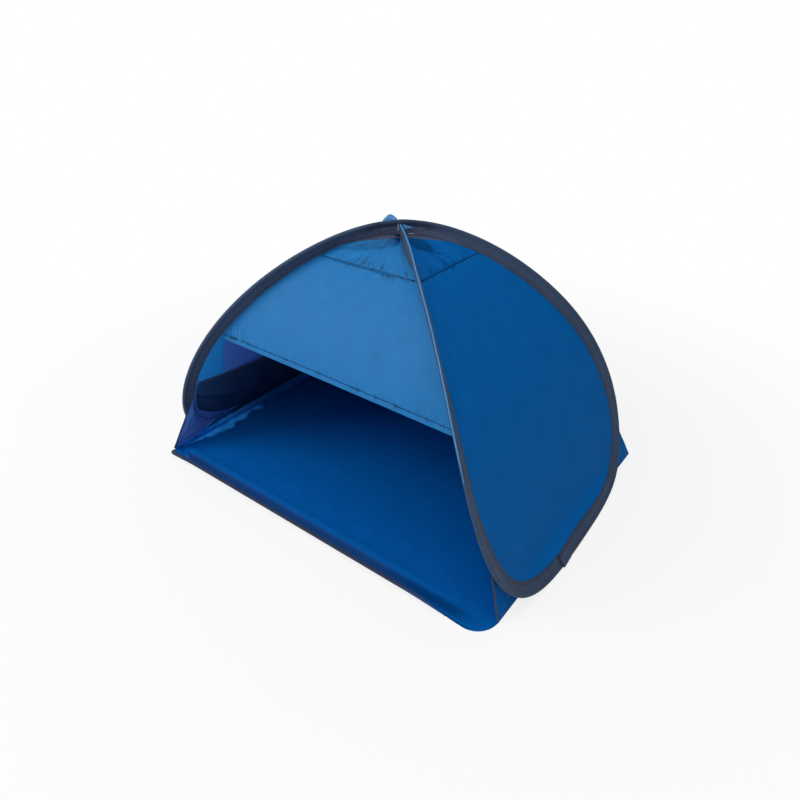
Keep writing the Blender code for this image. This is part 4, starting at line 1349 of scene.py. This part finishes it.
def floor_tint():
    # painted shade in the valley of the doorway edge; painted light on the left strip, which is also paler
    seed = FLOOR_SEED

    def tint(u, f):
        x, y = floor_point(u, f)
        front = y - FLOOR_FRONT_Y
        along = x + 0.004 * ripple(x, y, 0.020, seed)
        # painted shade, with the purple cast, in the valley behind the doorway edge
        valley = smooth((front - 0.005) / 0.005) * (1.0 - smooth((front - 0.021) / 0.008))
        valley *= smooth((along + 0.325) / 0.020) * (1.0 - smooth((along - 0.27) / 0.05))
        strip = left_strip(x, y)
        far = smooth((y + 0.085) / 0.06)
        coating_shade = 0.35 * valley * (1.0 - smooth((x - 0.12) / 0.12))
        light = (1.0 - 0.42 * valley) * (1.0 + strip * (1.20 - 0.95 * far))
        # painted light and shade of the folds in the left doorway corner and on the strip
        corner = smooth((-x - 0.22) / 0.08) * bell(front - 0.010, 0.008)
        light *= 1.0 + 0.6 * corner * ripple(0.3 * x, y + 0.08 * x, 0.006, seed + 9.2)
        folds = 0.42 * ripple(x + 0.25 * y, 0.22 * y, 0.0085, seed + 21.3)
        folds += 0.2 * ripple(x, 0.6 * y, 0.005, seed + 22.6)
        # the turned edge by the right corner lies in its own shade
        shade = 0.5 * smooth((0.0032 - front) / 0.0016) * smooth((x - 0.24) / 0.04)
        return coating_shade, light * (1.0 + strip * folds) * (1.0 - shade), strip * (1.0 - far)

    return tint


class TENT_OT_floor(bpy.types.Operator):
    """The floor, with its raised doorway edge"""
    bl_idname = "tent.floor"
    bl_label = "Floor"

    def execute(self, context):
        cloth = cloth_piece("floor_cloth_sheet", 230, 200, floor_place(), 0.700, 0.520,
                            material("floor_cloth"), floor_spread, floor_tint())
        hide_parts("floor")
        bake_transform(cloth)
        return {"FINISHED"}


class TENT_OT_front_binding(bpy.types.Operator):
    """The folded tape over the doorway edge of the floor"""
    bl_idname = "tent.front_binding"
    bl_label = "Front binding"

    def execute(self, context):
        path = [(floor_side(FLOOR_FRONT_Y + d, -1), FLOOR_FRONT_Y + d)
                for d in (0.0095, 0.0075, 0.0056, 0.0040, 0.0026, 0.0015, 0.0007, 0.0002)]
        start = floor_x(-1.0, FLOOR_FRONT_Y)
        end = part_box("front_binding")[1].x
        count = 200
        path += [(start + (end - start) * k / count, FLOOR_FRONT_Y) for k in range(count + 1)]
        half = [(0.0062, 0.0), (0.0062, 0.0010), (0.0050, 0.0016), (0.0020, 0.0017), (-0.0010, 0.0015),
                (-0.0022, 0.0008), (-0.0024, 0.0)]
        section = mirrored(half)

        def ring(k):
            x, y = path[k]
            a, b = path[max(k - 1, 0)], path[min(k + 1, len(path) - 1)]
            tx, ty = b[0] - a[0], b[1] - a[1]
            length = math.hypot(tx, ty)
            nx, ny = -ty / length, tx / length
            edge = 0.0003 + lip_height(x, y)
            slope = (0.0003 + lip_height(x + nx * 0.006, y + ny * 0.006) - edge) / 0.006
            # it gets thinner and narrower towards its right end
            taper = 1.0 - 0.75 * smooth((x - end + 0.03) / 0.03)
            narrow = 1.0 - 0.75 * smooth((x - end + 0.055) / 0.055)
            points = []
            for d, h in section:
                h = h * taper + 0.0002 * ripple(x, d * 4.0, 0.010, 5.0)
                d = d * narrow
                points.append(Vector((x + nx * d, y + ny * d, edge + slope * d + h)))
            low = min(p.z for p in points)
            if low < 0.0002:
                points = [p + Vector((0, 0, 0.0002 - low)) for p in points]
            return points

        def tint(k):
            # painted shade, with the purple cast, towards the tape's right end
            fade = smooth((path[k][0] - end + 0.09) / 0.07)
            return 0.75 * fade, 1.0 - 0.45 * fade, 0.0

        piece = band_piece("front_binding_tape", len(path) - 1, ring, material("edging_tape"), tint)
        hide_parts("front_binding")
        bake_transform(piece)
        return {"FINISHED"}


def skirt_place(sx, seed):
    # from the doorway leg along the bottom of the side to the back leg
    setback = GUSSET_SETBACK[sx]

    def column(s):
        sy = -1 if s < 0 else 1
        t = GUSSET_T + (1.0 - GUSSET_T) * (1.0 - abs(s))
        top = seam_at(t, sx, sy)
        corner = -FLOOR_FRONT_Y - setback if sy < 0 else FLOOR_BACK_Y - 0.0008
        level = (t - GUSSET_T) / (1.0 - GUSSET_T)
        share = abs(QY(t)) / abs(QY(GUSSET_T)) * (1.0 + 0.15 * (1.0 - level ** 2)) / 1.15
        y = sy * corner * share
        edge = floor_side(y, sx)
        bottom = Vector((edge + sx * 0.0002, y, 0.0003 + lip_height(edge, y)))
        out = (top - wire_at(t, sx, sy)).normalized()
        run = seam_at(min(t + 0.01, 1.0), sx, sy) - seam_at(t - 0.01, sx, sy)
        inside = run.cross(out).normalized()
        if inside.x * sx > 0:
            inside = -inside
        return top, bottom, inside, smooth((t - GUSSET_T) / 0.05)

    columns = {}

    def place(u, f):
        if u not in columns:
            columns[u] = column(u)
        top, bottom, inside, reach = columns[u]
        p = top.lerp(bottom, f)
        dist = (p - top).length
        push = (0.0008 + 0.0048 * smooth(dist / 0.014) * reach) * (1.0 - smooth((f - 0.45) / 0.55))
        size = (bottom - top).length
        below = smooth((f - tape_share(u)) / 0.08) * smooth((-0.15 - u) / 0.2)
        push += (0.0016 * ripple(u * 0.4, f * size, 0.026, seed) * math.sin(math.pi * f)
                 * min(size / 0.05, 1.0))
        crinkle = abs(ripple(u * 0.27, f * size * 0.4, 0.012, seed + 3.3))
        crinkle += 0.5 * abs(ripple(u * 0.27, f * size, 0.006, seed + 0.4))
        push += 0.0035 * crinkle * below * math.sin(math.pi * f) ** 0.5
        # the fold of the gusset's seam allowance, just above the tape
        push += crease(u, f, (-0.86, 0.74), (-0.54, 0.08), 0.030, 0.0016) * (1.0 - below)
        return p + inside * push

    return place


def tape_share(s):
    # the side seam's way over a skirt: from the floor's doorway corner up to the sleeve
    marks = [(-1.0, 0.95), (-0.82, 0.87), (-0.74, 0.74), (-0.66, 0.52), (-0.59, 0.31), (-0.50, 0.16),
             (-0.38, 0.05)]
    for (s0, f0), (s1, f1) in zip(marks, marks[1:]):
        if s < s1:
            return f0 + (f1 - f0) * (s - s0) / (s1 - s0)
    return 0.0


def skirt_tint(u, f):
    # painted shade and light: above the tape the gusset is painted in shade with the purple cast, below it
    # the floor's turned-up edge is painted lighter and paler, in streaks of painted light and shade
    below = smooth((f - tape_share(u)) / 0.06)
    near = smooth((-0.30 - u) / 0.25)
    long = smooth((0.02 - u) / 0.40)
    pale = below * smooth((-0.20 - u) / 0.12)
    light = 1.0 + 0.15 * near * (1.0 - below) + (0.9 - 0.1 * pale) * below * long
    light *= 1.0 + 0.35 * below * long * ripple(u * 0.12, f * 0.02, 0.008, 31.0)
    return (1.0 - below) * 0.95 * near + 0.55 * (below - pale) * long, light, pale


class TENT_OT_skirts(bpy.types.Operator):
    """The gussets and skirts between the loops and the floor, with their bound edges"""
    bl_idname = "tent.skirts"
    bl_label = "Skirts"

    def execute(self, context):
        for side, sx in SIDES.items():
            seed = SKIRT_SEEDS[side]
            skirt = cloth_piece("skirt_" + side + "_cloth", 170, 26, skirt_place(sx, seed), 0.560, 0.098,
                                material("panel_cloth"),
                                tint=skirt_tint)
            coated_and_shaded_inside(skirt, "inside_cloth", sx)
            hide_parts("skirt_" + side)
            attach(skirt, side + "_side")
            y = FLOOR_FRONT_Y + GUSSET_SETBACK[sx]
            edge = floor_side(y, sx)
            top = seam_at(GUSSET_T, sx, -1)
            bottom = Vector((edge + sx * 0.0004, y, 0.0012 + lip_height(edge, y)))
            way = (bottom - top).normalized()
            out = Vector((0, -1, 0))
            out = (out - way * out.dot(way)).normalized()
            flat = way.cross(out).normalized()
            count = 40
            half = [(-0.0010, 0.0), (-0.0008, 0.0007), (0.0, 0.0009), (0.0012, 0.0009), (0.0020, 0.0007),
                    (0.0024, 0.0)]

            def ring(k):
                f = 0.04 + 0.92 * k / count
                p = top.lerp(bottom, f)
                bow = 0.0010 * ripple(f * 0.1, 0.0, 0.03, seed)
                return [p + out * (x + bow) + flat * y for x, y in mirrored(half)]

            tape = band_piece("corner_binding_" + side + "_tape", count, ring, material("edging_tape"))
            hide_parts("corner_binding_" + side)
            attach(tape, side + "_side")
        return {"FINISHED"}


class TENT_OT_seam_tapes(bpy.types.Operator):
    """Tapes over the seams between the floor, the sides and the back, inside"""
    bl_idname = "tent.seam_tapes"
    bl_label = "Seam tapes"

    def execute(self, context):
        width = SEAM_TAPE_WIDTH
        for side, sx in SIDES.items():
            seed = SKIRT_SEEDS[side]
            skirt = skirt_place(sx, seed)

            def place(u, f):
                # from near the doorway corner to past the middle of the back leg's side
                s = -0.93 + 1.52 * f
                length = (skirt(s, 1.0) - skirt(s, 0.0)).length
                middle = max(tape_share(s) * length, 0.0024 + 0.5 * width)
                g = (middle + 0.5 * width * u) / length
                p = skirt(s, g)
                out = (skirt(s, g + 0.05) - p).cross(skirt(s + 0.01, g) - p).normalized()
                if out.x * sx > 0:
                    out = -out
                return p + out * (0.0008 + 0.0004 * (1 - u * u) + 0.0003 * ripple(f, u * 0.02, 0.02, seed))

            def tint(u, f):
                # painted light and shade: blue between a painted highlight on the upper fold and a painted
                # shadow line below, and painted shade all along behind the pocket
                seen = smooth((0.42 - f) / 0.04)
                upper = smooth((-0.55 - u) / 0.2) * smooth((0.31 - f) / 0.04)
                lower = smooth((u - 0.45) / 0.2)
                return 0.7 * upper, 0.26 + seen * (0.56 - 0.50 * lower + 2.6 * upper), 0.0

            tape = grid_piece("side_tape_" + side + "_strip", 8, 180, place, width, 0.46,
                              material("inside_cloth"), tint=tint)
            thicken(tape, 0.0005)
            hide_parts("side_tape_" + side)
            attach(tape, side + "_side")
        low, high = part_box("back_tape")

        def back(u, f):
            x = low.x + (high.x - low.x) * f
            y = low.y + 0.5 * width * (1.0 + u)
            return Vector((x, y, high.z + 0.0007 - 0.0003 * u * u + 0.0003 * ripple(x, y, 0.012, 6.0)))

        tape = grid_piece("back_tape_strip", 8, 180, back, width, high.x - low.x, material("edging_tape"))
        thicken(tape, 0.0005)
        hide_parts("back_tape")
        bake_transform(tape)
        return {"FINISHED"}


def pocket_top(u):
    return POCKET_T + 0.022 * (1.0 - abs(u) ** 1.7)


def pocket_bottom(u):
    # the bottom's two corners are rounded
    return PANEL_END_T - POCKET_CORNER_RISE * max((abs(u) - 0.35) / 0.65, 0.0) ** 3


def pocket_fold(u):
    return 0.34 + 0.30 * max(u + 0.85, 0.0) + 0.5 * max(-0.93 - u, 0.0)


def pocket_tint(u, f):
    # the lower part lies in the shade just below the fold
    off = f - pocket_fold(u)
    line = bell(off - 0.035, 0.022) * (1.0 - smooth((u + 0.60) / 0.25))
    # painted light: above the fold the doorway end of the pocket is painted lighter
    upper = 0.25 * smooth(-off / 0.05) * smooth((-0.55 - u) / 0.3)
    return 0.0, 1.0 - 0.75 * line + upper, 0.0


def pocket_place():
    def place(u, f):
        t = pocket_top(u) + (pocket_bottom(u) - pocket_top(u)) * f
        share = (t - SEAM_T) / (PANEL_END_T - SEAM_T)
        # it follows the side, and stands away from it towards its middle
        lift = -SIDE_HOLLOW * (1 - u * u) * math.sin(math.pi * min(share * SIDE_STRAIGHT, 1.0)) ** 0.8
        away = 0.0014 + 0.0060 * math.sin(math.pi * min(f * 1.05, 1.0)) ** 0.9 * (1 - u ** 4)
        away += 0.0022 * ripple(u * 0.2, f * 0.1, 0.045, POCKET_SEED) * math.sin(math.pi * f)
        # one long fold across it from the doorway end: the upper part hangs over the lower one
        fold = pocket_fold(u)
        hang = smooth((1.0 + u) / 0.08) * (1.0 - smooth((u + 0.75) / 0.75))
        away += 0.0042 * hang * smooth(f / 0.2) * (1.0 - smooth((f - fold) / 0.035))
        # the bottom edge turns in and rests on the seam
        away += 0.0020 * smooth((f - 0.86) / 0.08) * (1.0 - smooth((f - 0.95) / 0.05))
        lift -= max(away, 0.0013)
        return side_point(t, 0.985 * u, -1, inset=0.0010, lift=lift)

    return place


class TENT_OT_pocket(bpy.types.Operator):
    """The pocket inside the left side, with its bound top edge"""
    bl_idname = "tent.pocket"
    bl_label = "Inner pocket"

    def execute(self, context):
        cloth = pocket_place()
        pocket = cloth_piece("pocket_cloth_sheet", 110, 60, cloth, 0.400, 0.115,
                             material("pocket_cloth"), tint=pocket_tint)
        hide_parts("inner_pocket")
        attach(pocket, "left_side")
        count = 120

        def ring(k):
            # an oval tape that stands along the slanting side
            u = -1.0 + 2.0 * k / count
            p = cloth(u, 0.0)
            up = Vector((0.55, 0.0, 0.83))
            side = Vector((0.83, 0.0, -0.55))
            return [p + up * (0.0022 * math.cos(math.tau * i / 10) + 0.0006)
                    + side * (0.0009 * math.sin(math.tau * i / 10)) for i in range(10)]

        binding = band_piece("pocket_binding_tape", count, ring, material("edging_tape"))
        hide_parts("pocket_binding")
        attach(binding, "left_side")
        return {"FINISHED"}


class TENT_OT_tie(bpy.types.Operator):
    """The small light blue tie at the crossing"""
    bl_idname = "tent.tie"
    bl_label = "Crossing tie"

    def execute(self, context):
        near, far = t_at_length(0.006), t_at_length(0.024)
        p = wire_at(near, 1, 1)
        along = (wire_at(far, 1, 1) - p).normalized()
        down = (seam_at(near, 1, 1) - p).normalized()
        out = Vector((along.y, -along.x, 0.0)).normalized()
        base = p + out * (SLEEVE_TUBE_R + 0.0014)

        def place(u, f):
            # its upper and lower edge: along the upper run and down from it
            share = 0.5 + 0.5 * u
            top = Vector((-0.0016 + 0.0149 * share, 0.0023 + 0.0047 * share))
            low = Vector((0.0012 + 0.0121 * share, 0.0110 - 0.0028 * share))
            spot = top.lerp(low, f)
            return base + along * spot.x + down * spot.y + out * 0.0009 * math.sin(math.pi * f)

        tie = cloth_piece("crossing_tie_cloth", 16, 12, place, 0.0150, 0.0100,
                          material("piping_cloth"))
        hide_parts("crossing_tie")
        pale = material("pale_thread")
        # the two pale thread ends, one before the tie and one below it
        near_end = base - along * 0.0085 + down * 0.0075 - out * 0.0010
        far_end = base + along * 0.0114 + down * 0.0168 - out * 0.0014
        ends = [tack("crossing_thread_near", near_end, down, out, 0.0100, 0.0016, pale),
                tack("crossing_thread_far", far_end, along, out, 0.0090, 0.0014, pale)]
        for obj in [tie] + ends:
            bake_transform(obj)
        return {"FINISHED"}


class TENT_OT_stitching(bpy.types.Operator):
    """Rows of stitches along the hem and the crown's seams"""
    bl_idname = "tent.stitching"
    bl_label = "Stitching"

    def execute(self, context):
        sizes = context.scene.tent_sizes
        lift = 0.5 * sizes.cloth_thickness + 0.0001
        thread = material("sewing_thread")
        count = 500
        rows = [("hem", visor_place(), 1.0 - sizes.hem_width / VISOR_LENGTH, -0.985, 0.985, CLOTH_BEND)]
        for side, first, last in (("left", -0.94, 0.90), ("right", -0.91, 0.94),
                                  ("front", -0.90, 0.90), ("back", -0.90, 0.90)):
            rows.append((side + "_seam", crown_place(side), CROWN_STITCH_F, first, last, CROWN_BEND))
        for name, place, f, first, last, reach in rows:
            us = [first + (last - first) * k / count for k in range(count + 1)]
            outs = [outward(place, u, f) for u in us]
            points = [place(u, f) + out * lift for u, out in zip(us, outs)]
            made = [stitch_row(name + "_stitches", points, outs, thread)]
            # the groove that the stitches pull into the cloth, filled by the seam's own thread
            radius = 0.00035 if name == "hem" else 0.0005

            def ring(k):
                along = (points[min(k + 1, count)] - points[max(k - 1, 0)]).normalized()
                return round_ring(points[k] - outs[k] * 0.0003, outs[k], along.cross(outs[k]), radius, 8)

            made.append(band_piece(name + "_thread", count, ring, thread))
            if name != "hem":
                for k, end in ((4, "first"), (count - 4, "last")):
                    along = (points[k + 4] - points[k - 4]).normalized()
                    made.append(tack(name + "_tack_" + end, points[k], along, outs[k],
                                     0.0050, 0.0026, thread))
            for obj in made:
                if name in ("left_seam", "right_seam"):
                    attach(obj, name.split("_")[0] + "_side")
                else:
                    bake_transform(obj)
        return {"FINISHED"}


class TENT_OT_wire(bpy.types.Operator):
    """The finish of the spring wire and its ferrule, which keep the frame's own shapes"""
    bl_idname = "tent.wire"
    bl_label = "Spring wire"

    def execute(self, context):
        for name in ("wire_left", "wire_right_front", "wire_right_back", "wire_ferrule"):
            obj = frame["nodes"][name]
            for slot in obj.material_slots:
                slot.material = material("spring_steel")
        return {"FINISHED"}


def pale_floor_material():
    # for the camera the pale floor shows near white and keeps the soft shadow
    n = Nodes("pale_floor")
    n.plain({"Base Color": (0.86, 0.86, 0.86, 1.0), "Roughness": 0.9, "Specular IOR Level": 0.1})
    glow = n.add("ShaderNodeEmission", **{"Color": WHITE, "Strength": 1.0})
    rays = n.add("ShaderNodeLightPath")
    seen = n.maths("MAXIMUM", rays.outputs["Is Camera Ray"], rays.outputs["Is Glossy Ray"])
    # the share of plain white grows with the distance from the tent, so no horizon shows
    place = n.add("ShaderNodeTexCoord").outputs["Object"]
    away = n.add("ShaderNodeVectorMath", operation="LENGTH")
    n.join(place, away.inputs[0])
    grow = n.add("ShaderNodeMapRange", interpolation_type="SMOOTHSTEP",
                 **{"From Min": 0.30, "From Max": 1.30, "To Min": 0.80, "To Max": 1.0})
    n.join(away.outputs["Value"], grow.inputs["Value"])
    mix = n.add("ShaderNodeMixShader")
    n.join(n.maths("MULTIPLY", seen, grow.outputs["Result"]), mix.inputs["Fac"])
    n.join(n.shader.outputs["BSDF"], mix.inputs[1])
    n.join(glow.outputs["Emission"], mix.inputs[2])
    n.join(mix.outputs["Shader"], n.tree.nodes["Material Output"].inputs["Surface"])
    return n.material


def studio_world():
    # soft even light, and plain white where the camera sees past the floor
    world = bpy.data.worlds.new("studio")
    world.use_nodes = True
    tree = world.node_tree
    even = tree.nodes["Background"]
    white = tree.nodes.new("ShaderNodeBackground")
    for node, strength in ((even, 0.24), (white, 1.0)):
        node.inputs["Color"].default_value = WHITE
        node.inputs["Strength"].default_value = strength
    rays = tree.nodes.new("ShaderNodeLightPath")
    either = tree.nodes.new("ShaderNodeMath")
    either.operation = "MAXIMUM"
    tree.links.new(rays.outputs["Is Camera Ray"], either.inputs[0])
    tree.links.new(rays.outputs["Is Transmission Ray"], either.inputs[1])
    mix = tree.nodes.new("ShaderNodeMixShader")
    tree.links.new(either.outputs[0], mix.inputs["Fac"])
    tree.links.new(even.outputs["Background"], mix.inputs[1])
    tree.links.new(white.outputs["Background"], mix.inputs[2])
    tree.links.new(mix.outputs["Shader"], tree.nodes["World Output"].inputs["Surface"])
    return world


def aimed(obj, place, target):
    obj.location = place
    obj.rotation_mode = "QUATERNION"
    obj.rotation_quaternion = (Vector(target) - Vector(place)).to_track_quat("-Z", "Y")
    bpy.context.scene.collection.objects.link(obj)
    return obj


class TENT_OT_stage(bpy.types.Operator):
    """The pale floor, the lamps, the world and the camera"""
    bl_idname = "tent.stage"
    bl_label = "Stage"

    def execute(self, context):
        scene = context.scene
        bm = bmesh.new()
        bmesh.ops.create_grid(bm, x_segments=1, y_segments=1, size=12.0)
        ground = new_object("pale_floor", bm)
        ground.location.z = -0.0004
        ground.data.materials.append(pale_floor_material())

        for name, place, size, watts in LAMPS:
            lamp = bpy.data.lights.new(name, "AREA")
            lamp.shape = "SQUARE"
            lamp.size = size
            lamp.energy = watts
            aimed(bpy.data.objects.new(name, lamp), place, LAMPS_LOOK_AT)
        scene.world = studio_world()

        camera = bpy.data.cameras.new("camera")
        camera.lens = CAMERA_LENS
        camera.sensor_width = 36.0
        camera.clip_start = 0.05
        scene.camera = aimed(bpy.data.objects.new("camera", camera), CAMERA_AT, CAMERA_LOOKS_AT)
        scene.view_settings.view_transform = "Standard"
        return {"FINISHED"}


OPERATORS = (TENT_OT_sleeves, TENT_OT_crossing, TENT_OT_cuff, TENT_OT_piping, TENT_OT_side_panels,
             TENT_OT_crown, TENT_OT_webbing, TENT_OT_visor, TENT_OT_back_panel, TENT_OT_floor,
             TENT_OT_front_binding, TENT_OT_skirts, TENT_OT_seam_tapes, TENT_OT_pocket, TENT_OT_tie,
             TENT_OT_stitching, TENT_OT_wire, TENT_OT_stage)


class TENT_PT_panel(bpy.types.Panel):
    """Lists the tent's pieces, sizes and colours"""
    bl_idname = "TENT_PT_panel"
    bl_label = "Pop-up sun tent"
    bl_space_type = "VIEW_3D"
    bl_region_type = "UI"
    bl_category = "Tent"

    def draw(self, context):
        for group in (context.scene.tent_sizes, context.scene.tent_colours):
            box = self.layout.box()
            for name in group.__annotations__:
                box.prop(group, name)
        for operator in OPERATORS:
            self.layout.operator(operator.bl_idname)


CLASSES = (TentSizes, TentColours) + OPERATORS + (TENT_PT_panel,)


def register():
    for cls in CLASSES:
        bpy.utils.register_class(cls)
    bpy.types.Scene.tent_sizes = PointerProperty(type=TentSizes)
    bpy.types.Scene.tent_colours = PointerProperty(type=TentColours)


def unregister():
    del bpy.types.Scene.tent_colours
    del bpy.types.Scene.tent_sizes
    for cls in reversed(CLASSES):
        bpy.utils.unregister_class(cls)


def main():
    register()
    for operator in OPERATORS:
        getattr(bpy.ops.tent, operator.bl_idname.split(".")[1])()


if __name__ == "__main__":
    main()
